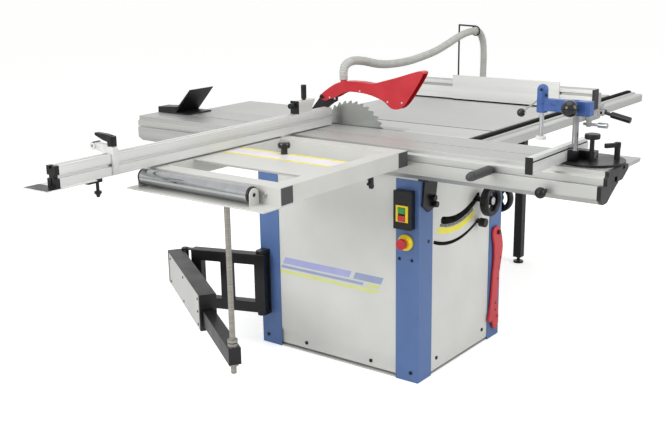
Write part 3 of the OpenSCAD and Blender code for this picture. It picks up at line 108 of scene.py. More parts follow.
def makeFinish(name, look):
    material = bpy.data.materials.new(name)
    material.use_nodes = True
    tree = material.node_tree
    shader = tree.nodes["Principled BSDF"]
    for key, value in look.get("shader", {}).items():
        shader.inputs[key].default_value = value
    place = addNode(tree, "ShaderNodeTexCoord")
    drawn = addNode(tree, "ShaderNodeMapping", {"Scale": look.get("drawn", (1, 1, 1))},
                    {"Vector": (place, "Object")})
    patch = addNode(tree, "ShaderNodeTexNoise",
                    {"Scale": 1000 / look["patchMm"], "Detail": noise["patchDetail"]},
                    {"Vector": (drawn, "Vector")})
    tone = addNode(tree, "ShaderNodeValToRGB", {}, {"Fac": (patch, "Fac")})
    for stop, position, colour in zip(tone.color_ramp.elements, noise["span"], look["colours"]):
        stop.position = position
        stop.color = linear(colour)
    tree.links.new(tone.outputs["Color"], shader.inputs["Base Color"])
    low, high = noise["span"]
    glossy, dull = look["rough"]
    gloss = addNode(tree, "ShaderNodeMapRange",
                    {"From Min": low, "From Max": high, "To Min": glossy, "To Max": dull},
                    {"Value": (patch, "Fac")})
    tree.links.new(gloss.outputs["Result"], shader.inputs["Roughness"])
    grain = addNode(tree, "ShaderNodeTexNoise",
                    {"Scale": 1000 / look["grainMm"], "Detail": noise["grainDetail"]},
                    {"Vector": (drawn, "Vector")})
    relief = addNode(tree, "ShaderNodeBump",
                     {"Strength": noise["grainStrength"], "Distance": look["reliefMm"] / 1000},
                     {"Height": (grain, "Fac")})
    tree.links.new(relief.outputs["Normal"], shader.inputs["Normal"])
    return material


finishLooks = {
    # powder coat on folded sheet: even satin with a faint orange peel, here drawn 3 mm wide so that it shows
    "powderCoatGrey": {"colours": ("#CECFCB", "#D5D6D2"), "patchMm": 160, "rough": (0.42, 0.52),
                       "grainMm": 3, "reliefMm": 0.05},
    # the same coat in mid blue, a little glossier on its folds
    "powderCoatBlue": {"colours": ("#4C689A", "#5471A3"), "patchMm": 140, "rough": (0.36, 0.48),
                       "grainMm": 3, "reliefMm": 0.06},
    # white powder coat of the crosscut frame: clean and slightly warm
    "powderCoatWhite": {"colours": ("#C2C2BD", "#C9C9C5"), "patchMm": 120, "rough": (0.4, 0.5),
                        "grainMm": 3, "reliefMm": 0.05},
    # black stove enamel of the arm and brackets: deep, with soft broad highlights
    "blackEnamel": {"colours": ("#131315", "#1A1A1C"), "patchMm": 90, "rough": (0.3, 0.42),
                    "grainMm": 2.5, "reliefMm": 0.06, "shader": {"Specular IOR Level": 0.35}},
    # moulded black nylon: fine leathery grain and dull highlights
    "blackNylon": {"colours": ("#0D0D0E", "#141415"), "patchMm": 30, "rough": (0.26, 0.4),
                   "grainMm": 1.5, "reliefMm": 0.06, "shader": {"Specular IOR Level": 0.35}},
    # polished phenolic of the ball handles: black with a crisp highlight
    "polishedPhenolic": {"colours": ("#0C0C0D", "#121213"), "patchMm": 40, "rough": (0.07, 0.13),
                         "grainMm": 6, "reliefMm": 0.01},
    # charcoal nylon of the tube plugs and the push handle: a shade lighter, dull
    "charcoalNylon": {"colours": ("#38383A", "#424244"), "patchMm": 30, "rough": (0.5, 0.62),
                      "grainMm": 1.5, "reliefMm": 0.08},
    # blackened steel of the screws and knife: dark with a bluish, slightly oily sheen
    "blackOxide": {"colours": ("#202124", "#2B2C30"), "patchMm": 25, "rough": (0.3, 0.45),
                   "grainMm": 2, "reliefMm": 0.03, "shader": {"Metallic": 0.7}},
    # ground cast iron of the main table: fine grinding lines along X, drawn coarse enough to show
    "groundCastIron": {"colours": ("#BEBFBC", "#C9CAC7"), "patchMm": 60, "rough": (0.34, 0.46),
                       "grainMm": 4, "reliefMm": 0.04, "drawn": (0.05, 1, 1), "shader": {"Metallic": 0.8}},
    # satin paint of the sheet extension tables: flat and even
    "satinTablePaint": {"colours": ("#B2B3B0", "#BCBDBA"), "patchMm": 200, "rough": (0.42, 0.52),
                        "grainMm": 4, "reliefMm": 0.04},
    # anodised extrusion drawn along X: pale satin metal with faint die lines
    "anodisedAlongX": {"colours": ("#AFB0AD", "#BABBB8"), "patchMm": 18, "rough": (0.4, 0.52),
                       "grainMm": 5, "reliefMm": 0.03, "drawn": (0.02, 1, 1), "shader": {"Metallic": 0.75}},
    # the same extrusion drawn along Y
    "anodisedAlongY": {"colours": ("#B9BAB8", "#C6C7C5"), "patchMm": 18, "rough": (0.34, 0.46),
                       "grainMm": 5, "reliefMm": 0.03, "drawn": (1, 0.02, 1), "shader": {"Metallic": 0.75}},
    # the crosscut fence's own extrusion: etched, so paler and duller
    "etchedAlongY": {"colours": ("#D3D4D2", "#DCDDDB"), "patchMm": 18, "rough": (0.38, 0.5),
                     "grainMm": 5, "reliefMm": 0.03, "drawn": (1, 0.02, 1), "shader": {"Metallic": 0.5}},
    # paler anodised face of the rip fence, rolled and bright
    "anodisedFacePlate": {"colours": ("#D4D5D3", "#DEDFDD"), "patchMm": 18, "rough": (0.36, 0.46),
                          "grainMm": 5, "reliefMm": 0.03, "drawn": (0.02, 1, 1), "shader": {"Metallic": 0.6}},
    # ground bright steel: small turned and zinc parts with fine marks
    "brightSteel": {"colours": ("#B6B8B9", "#C8CACB"), "patchMm": 12, "rough": (0.26, 0.38),
                    "grainMm": 2, "reliefMm": 0.02, "shader": {"Metallic": 0.95}},
    # zinc-plated threaded rod: yellowish grey, turned in fine rings, drawn 3 mm apart so that they show
    "threadedSteel": {"colours": ("#85837B", "#A3A199"), "patchMm": 6, "rough": (0.3, 0.42),
                      "grainMm": 3, "reliefMm": 0.15, "drawn": (0.05, 0.05, 1), "shader": {"Metallic": 0.9}},
    # chrome plate: mirror bright, with the slightest haze
    "chromePlate": {"colours": ("#A6A8AA", "#B2B4B6"), "patchMm": 40, "rough": (0.08, 0.16),
                    "grainMm": 6, "reliefMm": 0.01, "shader": {"Metallic": 1.0}},
    # belt rubber: matt and dusty
    "beltRubber": {"colours": ("#1D1D1D", "#2A2A2A"), "patchMm": 15, "rough": (0.7, 0.85),
                   "grainMm": 2, "reliefMm": 0.1},
    # matt black: the rubber cover of the rail, and painted shade in the table seam, in the mitre fence's
    # groove and under the rip fence's foot; hardly shining even at a low angle
    "blackRubberAndPaintedShade": {"colours": ("#161616", "#1E1E1E"), "patchMm": 30, "rough": (0.75, 0.88),
                    "grainMm": 2, "reliefMm": 0.05, "shader": {"Specular IOR Level": 0.1}},
    # red ABS of the guard and stick: clear strong red, moulded satin
    "redAbs": {"colours": ("#BA1B27", "#C6232F"), "patchMm": 70, "rough": (0.3, 0.42),
               "grainMm": 2.5, "reliefMm": 0.04, "shader": {"Coat Weight": 0.15}},
    # green ABS button
    "greenAbs": {"colours": ("#1F8A3B", "#26963F"), "patchMm": 20, "rough": (0.28, 0.36),
                 "grainMm": 2, "reliefMm": 0.02},
    # yellow ABS of the stop's housing and the switch plate
    "yellowAbs": {"colours": ("#EFCF10", "#F4D827"), "patchMm": 25, "rough": (0.3, 0.4),
                  "grainMm": 2, "reliefMm": 0.02},
    # corrugated PVC hose: translucent grey with soft shine on every rib
    "corrugatedPvc": {"colours": ("#A6A7A3", "#B4B5B1"), "patchMm": 45, "rough": (0.32, 0.44),
                      "grainMm": 3, "reliefMm": 0.05, "shader": {"Subsurface Weight": 0.1}},
    # hammered blue paint of the hold-down casting
    "castBluePaint": {"colours": ("#33538F", "#3E62A4"), "patchMm": 22, "rough": (0.26, 0.4),
                      "grainMm": 4, "reliefMm": 0.12},
    # machine grey-blue paint of the motor
    "motorPaint": {"colours": ("#5B6877", "#657383"), "patchMm": 60, "rough": (0.4, 0.55),
                   "grainMm": 3, "reliefMm": 0.06},
    # pale urethane pad: milky and soft
    "milkyUrethane": {"colours": ("#E0E0DD", "#E8E8E6"), "patchMm": 15, "rough": (0.3, 0.4),
                      "grainMm": 2, "reliefMm": 0.03},
}
# vinyl strips and screen print: thin flat colour with an even half gloss
vinylRows = [
    ("yellowVinyl", ("#E6DC35", "#ECE348"), 40, (0.36, 0.46)),
    ("darkPrint", ("#3A3C40", "#44464A"), 40, (0.4, 0.5)),
    ("palePrint", ("#E4E4DE", "#ECECE6"), 40, (0.4, 0.5)),
    ("lilacVinyl", ("#A3A8D6", "#ABB0DC"), 60, (0.36, 0.46)),
    ("paleLilacVinyl", ("#DCD6DF", "#E2DDE5"), 60, (0.36, 0.46)),
    ("greyBlueVinyl", ("#94A0C2", "#9CA8C8"), 60, (0.36, 0.46)),
    ("limeVinyl", ("#D2D884", "#DADF90"), 60, (0.36, 0.46)),
]
for name, colours, patchMm, rough in vinylRows:
    finishLooks[name] = {"colours": colours, "patchMm": patchMm, "rough": rough,
                         "grainMm": 2, "reliefMm": 0.02}
finishes = {name: makeFinish(name, look) for name, look in finishLooks.items()}

# painted reflection on ground saw steel: bright and dark sectors about the centre are painted into the
# colour, where rings of fine marks would throw the light back
blade = {"centre": (-97, -50, 787), "colours": ("#5C5E5C", "#B4B6B3"), "sectors": 3, "start": 70,
         "metallic": 0.9, "rough": 0.3}


def makeBladeSteelPaintedSheen(look):
    material = bpy.data.materials.new("sawSteelPaintedSheen")
    material.use_nodes = True
    tree = material.node_tree
    shader = tree.nodes["Principled BSDF"]
    shader.inputs["Metallic"].default_value = look["metallic"]
    shader.inputs["Roughness"].default_value = look["rough"]
    place = addNode(tree, "ShaderNodeTexCoord")
    flat = addNode(tree, "ShaderNodeMapping",
                   {"vector_type": "TEXTURE", "Location": Vector(look["centre"]) / 1000,
                    "Rotation": (math.radians(90), 0, math.radians(look["start"]))},
                   {"Vector": (place, "Object")})
    angle = addNode(tree, "ShaderNodeTexGradient", {"gradient_type": "RADIAL"}, {"Vector": (flat, "Vector")})
    wave = addNode(tree, "ShaderNodeMath", {"operation": "MULTIPLY", 1: look["sectors"] * 2 * math.pi},
                   {0: (angle, "Fac")})
    swing = addNode(tree, "ShaderNodeMath", {"operation": "SINE"}, {0: (wave, "Value")})
    level = addNode(tree, "ShaderNodeMapRange", {"From Min": -1, "From Max": 1}, {"Value": (swing, "Value")})
    tone = addNode(tree, "ShaderNodeValToRGB", {}, {"Fac": (level, "Result")})
    for stop, colour in zip(tone.color_ramp.elements, look["colours"]):
        stop.color = linear(colour)
    tree.links.new(tone.outputs["Color"], shader.inputs["Base Color"])
    return material


finishes["sawSteelPaintedSheen"] = makeBladeSteelPaintedSheen(blade)
finishOfSlot = {
    "cabinet_grey": "powderCoatGrey", "post_blue": "powderCoatBlue", "motor_paint": "motorPaint",
    "black_paint": "blackEnamel", "black_plastic": "blackNylon", "black_steel": "blackOxide",
    "cast_grey": "groundCastIron", "alloy": "anodisedAlongX", "table_paint": "satinTablePaint",
    "white_paint": "powderCoatWhite", "bright_steel": "brightSteel", "chrome": "chromePlate",
    "belt_rubber": "beltRubber", "red_plastic": "redAbs", "green_plastic": "greenAbs",
    "yellow_plastic": "yellowAbs", "hose_grey": "corrugatedPvc", "clamp_blue": "castBluePaint",
}
print("finishes made,", len(finishes))

# the dust hose, from the guard over the hanger to the cabinet
hose = {
    "route": [(-135, -50, 1020), (-135, -50, 1034), (-135, -50, 1049), (-137, -34, 1073), (-143, 22, 1083),
              (-151, 100, 1075), (-162, 220, 1052), (-173, 330, 1041), (-186, 470, 1038), (-199, 600, 1044),
              (-213, 735, 1055), (-227, 870, 1077), (-239, 990, 1100), (-248, 1084, 1112),
              (-258, 1184, 1113), (-261, 1234, 1096), (-260, 1262, 1056), (-258, 1268, 1000),
              (-256, 1264, 920), (-254, 1256, 830), (-250, 1250, 720), (-245, 1238, 590),
              (-237, 1206, 470), (-228, 1126, 362), (-218, 970, 306),
              (-209, 770, 288), (-203, 570, 288), (-200, 430, 296), (-200, 360, 300), (-200, 302, 300)],
    "crest": 16.5, "valley": 14.2, "pitch": 8, "sides": 18, "ringsPerRib": 4, "crestRings": (1, 2),
    "pointsPerSpan": 24, "pathEvery": 8,
}


def smoothRoute(points, perSpan):
    ends = [2 * points[0] - points[1]] + points + [2 * points[-1] - points[-2]]
    smooth = []
    for i in range(1, len(ends) - 2):
        before, start, stop, after = ends[i - 1:i + 3]
        for j in range(perSpan):
            t = j / perSpan
            smooth.append(0.5 * (2 * start + (stop - before) * t
                                 + (2 * before - 5 * start + 4 * stop - after) * t * t
                                 + (3 * start - before - 3 * stop + after) * t ** 3))
    return smooth + [points[-1]]


def evenRoute(points, step):
    lengths = [0]
    for a, b in zip(points, points[1:]):
        lengths.append(lengths[-1] + (b - a).length)
    count = round(lengths[-1] / step)
    even, j = [], 0
    for i in range(count + 1):
        want = lengths[-1] * i / count
        while j < len(points) - 2 and lengths[j + 1] < want:
            j += 1
        part = (want - lengths[j]) / (lengths[j + 1] - lengths[j])
        even.append(points[j].lerp(points[j + 1], part))
    return even, lengths[-1]


def buildHose(look):
    fine = smoothRoute([Vector(p) / 1000 for p in look["route"]], look["pointsPerSpan"])
    middle, length = evenRoute(fine, look["pitch"] / 1000 / look["ringsPerRib"])
    side = Vector((1, 0, 0))
    verts, faces = [], []
    for i, point in enumerate(middle):
        ahead = (middle[min(i + 1, len(middle) - 1)] - middle[max(i - 1, 0)]).normalized()
        side = (side - ahead * side.dot(ahead)).normalized()
        up = ahead.cross(side)
        radius = look["crest"] if i % look["ringsPerRib"] in look["crestRings"] else look["valley"]
        for k in range(look["sides"]):
            turn = 2 * math.pi * k / look["sides"]
            verts.append(point + (side * math.cos(turn) + up * math.sin(turn)) * radius / 1000)
    n = look["sides"]
    for i in range(len(middle) - 1):
        for k in range(n):
            faces.append((i * n + k, i * n + (k + 1) % n, (i + 1) * n + (k + 1) % n, (i + 1) * n + k))
    faces.append(tuple(reversed(range(n))))
    faces.append(tuple(range((len(middle) - 1) * n, len(middle) * n)))
    mesh = bpy.data.meshes.new("ribbedHose")
    mesh.from_pydata(verts, [], faces)
    mesh.shade_smooth()
    mesh.materials.append(finishes["corrugatedPvc"])
    ribbed = bpy.data.objects.new("ribbedHose", mesh)
    bpy.context.collection.objects.link(ribbed)
    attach(ribbed, bodyOf["dust_hose"])
    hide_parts("dust_hose")
    print("hose laid, length", round(length, 3))


buildHose(hose)


def deselectAll():
    if bpy.context.mode != "OBJECT":
        bpy.ops.object.mode_set(mode="OBJECT")
    bpy.ops.object.select_all(action="DESELECT")


def pick(piece):
    deselectAll()
    piece.select_set(True)
    bpy.context.view_layer.objects.active = piece


def applyModifier(piece, kind, **settings):
    pick(piece)
    modifier = piece.modifiers.new(kind.title(), kind)
    for key, value in settings.items():
        setattr(modifier, key, value)
    bpy.ops.object.modifier_apply(modifier=modifier.name)


softEdge = {"segments": 2, "bevelAngle": 32, "smoothAngle": 40}
cleanUp = {"mergeMm": 0.01, "flatAngle": 0.4}  # a copy of a CAD mesh is merged and its flat seams dissolved


def roundEdges(piece, widthMm):
    if widthMm:
        applyModifier(piece, "BEVEL", width=widthMm / 1000, segments=softEdge["segments"],
                      limit_method="ANGLE", angle_limit=math.radians(softEdge["bevelAngle"]),
                      use_clamp_overlap=False)
    pick(piece)
    bpy.ops.object.shade_smooth_by_angle(angle=math.radians(softEdge["smoothAngle"]))
    applyModifier(piece, "WEIGHTED_NORMAL", keep_sharp=True)


def cutAcross(axis, placeMm):
    normal = Vector((axis == "x", axis == "y", axis == "z"))
    bpy.ops.mesh.select_all(action="SELECT")
    bpy.ops.mesh.bisect(plane_co=normal * placeMm / 1000, plane_no=normal)


def paintFaces(piece, limits, finish):
    piece.data.materials.append(finishes[finish])
    index = len(piece.data.materials) - 1
    painted = 0
    for face in piece.data.polygons:
        if all(low <= face.center["xyz".index(axis)] * 1000 <= high for axis, (low, high) in limits.items()):
            face.material_index = index
            painted += 1
    print(piece.name, finish, painted, "faces")


def softenNode(name, look):
    source = nodes[name]
    piece = source.copy()
    piece.data = source.data.copy()
    piece.name = name + "Finished"
    piece.parent = None
    piece.matrix_world = Matrix.Identity(4)
    bpy.context.collection.objects.link(piece)
    piece.data.materials.clear()
    piece.data.materials.append(finishes[look["finish"]])
    pick(piece)
    bpy.ops.object.mode_set(mode="EDIT")
    bpy.ops.mesh.select_all(action="SELECT")
    bpy.ops.mesh.remove_doubles(threshold=cleanUp["mergeMm"] / 1000)
    bpy.ops.mesh.dissolve_limited(angle_limit=math.radians(cleanUp["flatAngle"]))
    for axis, place in look.get("cuts", []):
        cutAcross(axis, place)
    bpy.ops.object.mode_set(mode="OBJECT")
    roundEdges(piece, look["edge"])
    for limits, finish in look.get("patches", []):
        paintFaces(piece, limits, finish)
    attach(piece, bodyOf[name])
    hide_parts(name)


far = 9000  # past every side of the machine
meets = {"tableJoint": 111, "railStrip": 434, "beamCap": 996, "carriageCap": 1009, "carriageSide": -165,
         "rollerCaps": (-177, 257), "fenceCap": -1359, "ripFoot": 857}
# edge: how far corners are rounded, in mm; cuts: where a finish ends; patches: stretches in another finish
nodeLooks = {
    "left_panel": {"edge": 1.0}, "front_panel": {"edge": 0.8}, "right_panel": {"edge": 1.0},
    "rear_panel": {"edge": 1.0},
    "corner_posts": {"edge": 1.5, "patches": [({"y": (-297, 297), "z": (-1, 4.2)}, "powderCoatGrey")]},
    # painted shade: a dark strip along the main table's edge at its joint to the right extension
    "main_table": {"edge": 1.2, "cuts": [("y", meets["tableJoint"])],
                   "patches": [({"y": (meets["tableJoint"], far), "z": (847, far)}, "blackRubberAndPaintedShade")]},
    "table_insert": {"edge": 0.6, "finish": "anodisedAlongX"}, "right_extension": {"edge": 1.2},
    "outfeed_extension": {"edge": 1.2}, "extension_leg": {"edge": 1.2},
    "rip_rail": {"edge": 0.8, "finish": "anodisedAlongY", "cuts": [("x", meets["railStrip"])],
                 "patches": [({"x": (0, meets["railStrip"]), "z": (838, far)}, "blackRubberAndPaintedShade")]},
    "slide_beam": {"edge": 0.8, "cuts": [("x", meets["beamCap"])],
                   "patches": [({"x": (meets["beamCap"], far)}, "blackNylon")]},
    "slide_carriage": {"edge": 0.7, "cuts": [("x", meets["carriageCap"]), ("y", meets["carriageSide"])],
                       "patches": [({"x": (meets["carriageCap"], far), "y": (-far, meets["carriageSide"])},
                                    "blackNylon")]},
    "beam_brackets": {"edge": 1.0}, "switch_box": {"edge": 1.5}, "estop_base": {"edge": 3},
    "start_button": {"edge": 1.2}, "stop_button": {"edge": 1.2}, "estop_button": {"edge": 2.5},
    "push_stick": {"edge": 3}, "height_handwheel": {"edge": 2.5}, "tilt_handwheel": {"edge": 2.5},
    "tilt_lock_knob": {"edge": 2}, "riving_knife": {"edge": 0.6}, "blade_guard": {"edge": 1.2},
    "carriage_handle": {"edge": 2, "finish": "charcoalNylon"}, "carriage_lock": {"edge": 2},
    "crosscut_frame": {"edge": 1.5},
    "roller": {"edge": 1.5, "cuts": [("x", place) for place in meets["rollerCaps"]],
               "patches": [({"x": (-far, meets["rollerCaps"][0])}, "blackNylon"),
                           ({"x": (meets["rollerCaps"][1], far)}, "blackNylon")]},
    "clamp_lever": {"edge": 1.5}, "rip_shoe": {"edge": 1.0},
    "crosscut_fence": {"edge": 0.8, "finish": "etchedAlongY", "cuts": [("y", meets["fenceCap"])],
                       "patches": [({"y": (-far, meets["fenceCap"]), "z": (853.9, far)}, "blackNylon"),
                                   ({"y": (-291.5, -284.8), "z": (917, far)}, "blackNylon"),
                                   ({"y": (-340, -291), "z": (940, far)}, "blackNylon"),
                                   ({"y": (-291, far), "z": (963.5, far)}, "blackNylon"),
                                   ({"y": (-1262, -1190), "z": (0, 850.2)}, "blackNylon")]},
    "flip_stop": {"edge": 0.6, "finish": "etchedAlongY", "patches": [({"z": (946.2, far)}, "blackNylon")]},
    "mitre_base": {"edge": 0.8},
    "mitre_fence": {"edge": 0, "finish": "etchedAlongY",
                    "patches": [({"x": (867.1, far), "y": (-290, -150)}, "blackNylon"),
                                # painted shade: the inside of the groove along the bar's side is painted dark
                                ({"x": (862, 866.9), "z": (892, 896.6)}, "blackRubberAndPaintedShade")]},
    "mitre_knob": {"edge": 3}, "mitre_lever": {"edge": 1.5}, "hold_down_column": {"edge": 0.8},
    "hold_down_arm": {"edge": 1.5, "patches": [({"y": (-far, -275)}, "polishedPhenolic"),
                                               ({"x": (-far, 716)}, "polishedPhenolic"),
                                               ({"x": (716, 756)}, "chromePlate")]},
    "hold_down_plunger": {"edge": 1, "patches": [({"z": (0, 924.6)}, "milkyUrethane")]},
    "rip_guide": {"edge": 2},
    "rip_profile": {"edge": 0.8, "cuts": [("z", meets["ripFoot"])],
                    "patches": [({"y": (-far, 735.1)}, "anodisedFacePlate"),
                                # painted shadow: the lowest strip of the fence, along its foot on the table,
                                # is painted dark
                                ({"z": (0, meets["ripFoot"])}, "blackRubberAndPaintedShade")]},
    "rip_lever": {"edge": 2}, "micro_knob": {"edge": 1}, "swing_frame": {"edge": 2},
    "arm_box": {"edge": 1.5},
    "arm_tube": {"edge": 1.0, "patches": [({"z": (310.5, far)}, "threadedSteel"),
                                          ({"z": (0, 254.5)}, "threadedSteel")]},
    "hose_hanger": {"edge": 0.8}, "dust_port": {"edge": 1.0},
    # the blade's bright and dark sectors are a painted reflection
    "saw_blade": {"edge": 0.25, "finish": "sawSteelPaintedSheen"},
}
for nodeName, look in nodeLooks.items():
    look.setdefault("finish", finishOfSlot[slotOf[nodeName]])
    softenNode(nodeName, look)
for nodeName, nodeObject in nodes.items():
    if nodeName not in nodeLooks and nodeName != "dust_hose":
        finish = finishes[finishOfSlot[slotOf[nodeName]]]
        for slot in nodeObject.material_slots:
            slot.material = finish
print("nodes finished,", len(nodeLooks))


# one shape for each kind of trim, all in mm
def block(low, high, edge):
    deselectAll()
    middle = [(a + b) / 2000 for a, b in zip(low, high)]
    bpy.ops.mesh.primitive_cube_add(size=0.001, location=middle)  # one millimetre, then stretched
    bpy.ops.transform.resize(value=[b - a for a, b in zip(low, high)])
    bpy.ops.object.transform_apply(location=True, rotation=True, scale=True)
    piece = bpy.context.object
    roundEdges(piece, edge)
    return piece


turnedLook = {"sides": 32, "edge": 0.3}


def turned(foot, way, steps):
    deselectAll()
    bpy.ops.mesh.primitive_circle_add(vertices=turnedLook["sides"], radius=steps[0][0] / 1000,
                                      fill_type="NGON")
    piece = bpy.context.object
    bpy.ops.object.mode_set(mode="EDIT")
    bpy.ops.mesh.select_all(action="SELECT")
    for (wide, low), (narrow, high) in zip(steps, steps[1:]):
        bpy.ops.mesh.extrude_region_move(TRANSFORM_OT_translate={"value": (0, 0, (high - low) / 1000)})
        bpy.ops.transform.resize(value=(narrow / wide, narrow / wide, 1))
    bpy.ops.mesh.select_all(action="SELECT")
    bpy.ops.mesh.normals_make_consistent(inside=False)
    bpy.ops.object.mode_set(mode="OBJECT")
    piece.rotation_euler = Vector((0, 0, 1)).rotation_difference(Vector(way)).to_euler()
    piece.location = Vector(foot) / 1000
    bpy.ops.object.transform_apply(location=True, rotation=True, scale=True)
    roundEdges(piece, turnedLook["edge"])
    return piece


def plate(outline, axis, low, high, edge):
    deselectAll()
    bpy.ops.mesh.primitive_circle_add(vertices=len(outline), radius=1, fill_type="NGON")
    piece = bpy.context.object
    for vert, (u, v) in zip(piece.data.vertices, outline):
        spot = [u / 1000, v / 1000]
        spot.insert(axis, low / 1000)
        vert.co = spot
    rise = [0, 0, 0]
    rise[axis] = (high - low) / 1000
    bpy.ops.object.mode_set(mode="EDIT")
    bpy.ops.mesh.select_all(action="SELECT")
    bpy.ops.mesh.extrude_region_move(TRANSFORM_OT_translate={"value": rise})
    bpy.ops.mesh.select_all(action="SELECT")
    bpy.ops.mesh.normals_make_consistent(inside=False)
    bpy.ops.object.mode_set(mode="OBJECT")
    roundEdges(piece, edge)
    return piece


def placePiece(name, body, parts):
    for piece, finish in parts:
        piece.data.materials.clear()
        piece.data.materials.append(finishes[finish])
    deselectAll()
    for piece, finish in parts:
        piece.select_set(True)
    bpy.context.view_layer.objects.active = parts[0][0]
    if len(parts) > 1:
        bpy.ops.object.join()
    whole = bpy.context.view_layer.objects.active
    whole.name = name
    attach(whole, body)


# tilt scale on the front panel: dark graduated arc and a yellow arc under it, about the tilt axis
scale = {"axis": (-50, 850), "face": 356, "thick": 0.5, "edge": 0.2, "steps": 24,
         "arcs": [((312.5, 322), (-19.5, 24), "darkPrint"), ((324, 345), (-21, 25), "yellowVinyl")],
         "ticks": range(-18, 24), "tickThick": 0.2, "tickEdge": 0.05, "longEvery": 5,
         "longTick": {"radii": (314, 321), "half": 0.16}, "shortTick": {"radii": (316.5, 321), "half": 0.09}}


def arcBand(centre, radii, turns, count):
    steps = [math.radians(turns[0] + (turns[1] - turns[0]) * i / count) for i in range(count + 1)]
    band = [(radii[0], step) for step in steps] + [(radii[1], step) for step in reversed(steps)]
    return [(centre[0] + radius * math.sin(step), centre[1] - radius * math.cos(step))
            for radius, step in band]


def buildScale(look):
    face, top = look["face"], look["face"] + look["thick"]
    parts = []
    for radii, turns, finish in look["arcs"]:
        band = arcBand(look["axis"], radii, turns, look["steps"])
        parts.append((plate(band, 0, face, top, look["edge"]), finish))
    for turn in look["ticks"]:
        tick = look["shortTick"] if turn % look["longEvery"] else look["longTick"]
        band = arcBand(look["axis"], tick["radii"], (turn - tick["half"], turn + tick["half"]), 1)
        parts.append((plate(band, 0, top, top + look["tickThick"], look["tickEdge"]), "palePrint"))
    placePiece("tiltScale", "cabinet", parts)


buildScale(scale)

# plain slanted stripes on the left panel: ends, foot and top of each
stripes = {"face": -296, "thick": 0.4, "edge": 0.2, "slant": 0.45, "bars": [
    (-251, 60, 340, 366, "lilacVinyl"), (78, 200, 340, 366, "greyBlueVinyl"),
    (-262, 120, 322, 333, "greyBlueVinyl"), (138, 192, 322, 333, "limeVinyl"),
    (-272, 183, 302, 314, "limeVinyl")]}


def buildStripes(look):
    parts = []
    for left, right, low, high, finish in look["bars"]:
        lean = (high - low) * look["slant"]
        outline = [(left, low), (right, low), (right + lean, high), (left + lean, high)]
        parts.append((plate(outline, 1, look["face"] - look["thick"], look["face"], look["edge"]), finish))
    placePiece("panelStripes", "cabinet", parts)


buildStripes(stripes)
print("tilt scale and stripes set")

# screws, rivets, dots and knobs: steps of radius and height, from the foot up
headShapes = {
    "socketScrew": [(6, 0), (6, 1.2), (4.6, 2.6), (2.2, 2.6), (2.2, 1.2)],
    # painted shade: a dark dished disc stands for the shade inside a hole in the post
    "postHolePaintedShade": [(7, 0), (7, 0.8), (5, 1), (4.6, 0.4)],
    "coverScrew": [(5, 0), (5, 1), (3.6, 2.2), (1.8, 2.2), (1.8, 1)],
    "stickDot": [(5, 0), (5, 0.3), (3.6, 0.5)],
    # painted shade: a thin dark disc stands for the shade inside a hole in the arm
    "armHole": [(5, 0), (5, 0.4), (3.5, 0.6)],
    "rivet": [(4, 0), (3.6, 1.2), (2, 1.8)],
    "pivotBolt": [(9, 0), (9, 1), (7.5, 1.2), (7.5, 5), (6.5, 6), (3.4, 6), (3.4, 3.4)],
    "wheelHub": [(14, 0), (14, 1.4), (11, 2.4), (6, 2.4), (5, 4)],
    "frameScrew": [(9, 0), (9, 1.4), (6.6, 1.6), (6.6, 6), (3.4, 6), (3.4, 3)],
    "slatKnob": [(13, 0), (11, 3), (11, 18), (19, 21), (21, 27), (21, 34), (18, 39), (12, 41)],
}
ways = {"left": (0, -1, 0), "right": (0, 1, 0), "front": (1, 0, 0), "up": (0, 0, 1)}
# body, slot and finish of each group, then the shape, the way it faces and the foot of each head
heads = {
    "postScrews": ("cabinet", "black_steel", "blackOxide", [
        ("socketScrew", "left", (281, -300, 452)), ("socketScrew", "left", (332, -300, 453)),
        # the disc on the post's front is painted shade inside a hole
        ("postHolePaintedShade", "front", (360, -238, 512))]),
    "stickDots": ("stick", "black_plastic", "blackNylon", [
        ("stickDot", "front", (372, y, z))
        for y, z in [(280, 324), (271, 286), (262, 242), (250, 145), (251, 116), (263, 87), (223, 73)]]),
    "guardRivets": ("guard", "bright_steel", "brightSteel", [
        ("rivet", "left", (x, -68, z))
        for x, z in [(-189, 951), (-165, 948), (-49, 984), (75, 953), (137, 954)]]),
    "guardPivotBolt": ("guard", "black_steel", "blackOxide", [("pivotBolt", "left", (-222, -74, 953))]),
    "heightWheelHub": ("height_wheel", "bright_steel", "brightSteel", [
        ("wheelHub", "front", (426, 103.5, 594.6))]),
    "tiltWheelHub": ("tilt_wheel", "bright_steel", "brightSteel", [("wheelHub", "right", (318, 370, 541))]),
    "frameScrews": ("carriage", "bright_steel", "brightSteel", [
        ("frameScrew", "left", (x, -1000, 821)) for x in (282, -117)]),
    "slatKnob": ("carriage", "black_plastic", "polishedPhenolic", [("slatKnob", "up", (36, -615, 848))]),
    # dark discs painted as the shade inside the arm's holes
    "holdArmHoles": ("hold_arm", "black_steel", "blackOxide", [
        ("armHole", "left", (x, -274, z)) for x, z in [(776, 1070), (793, 1054)]]),
}
for headName, (body, slot, finish, rows) in heads.items():
    parts = [(turned(foot, ways[way], headShapes[shape]), finish) for shape, way, foot in rows]
    placePiece(headName, body, parts)
print("screws and knobs set,", len(heads))

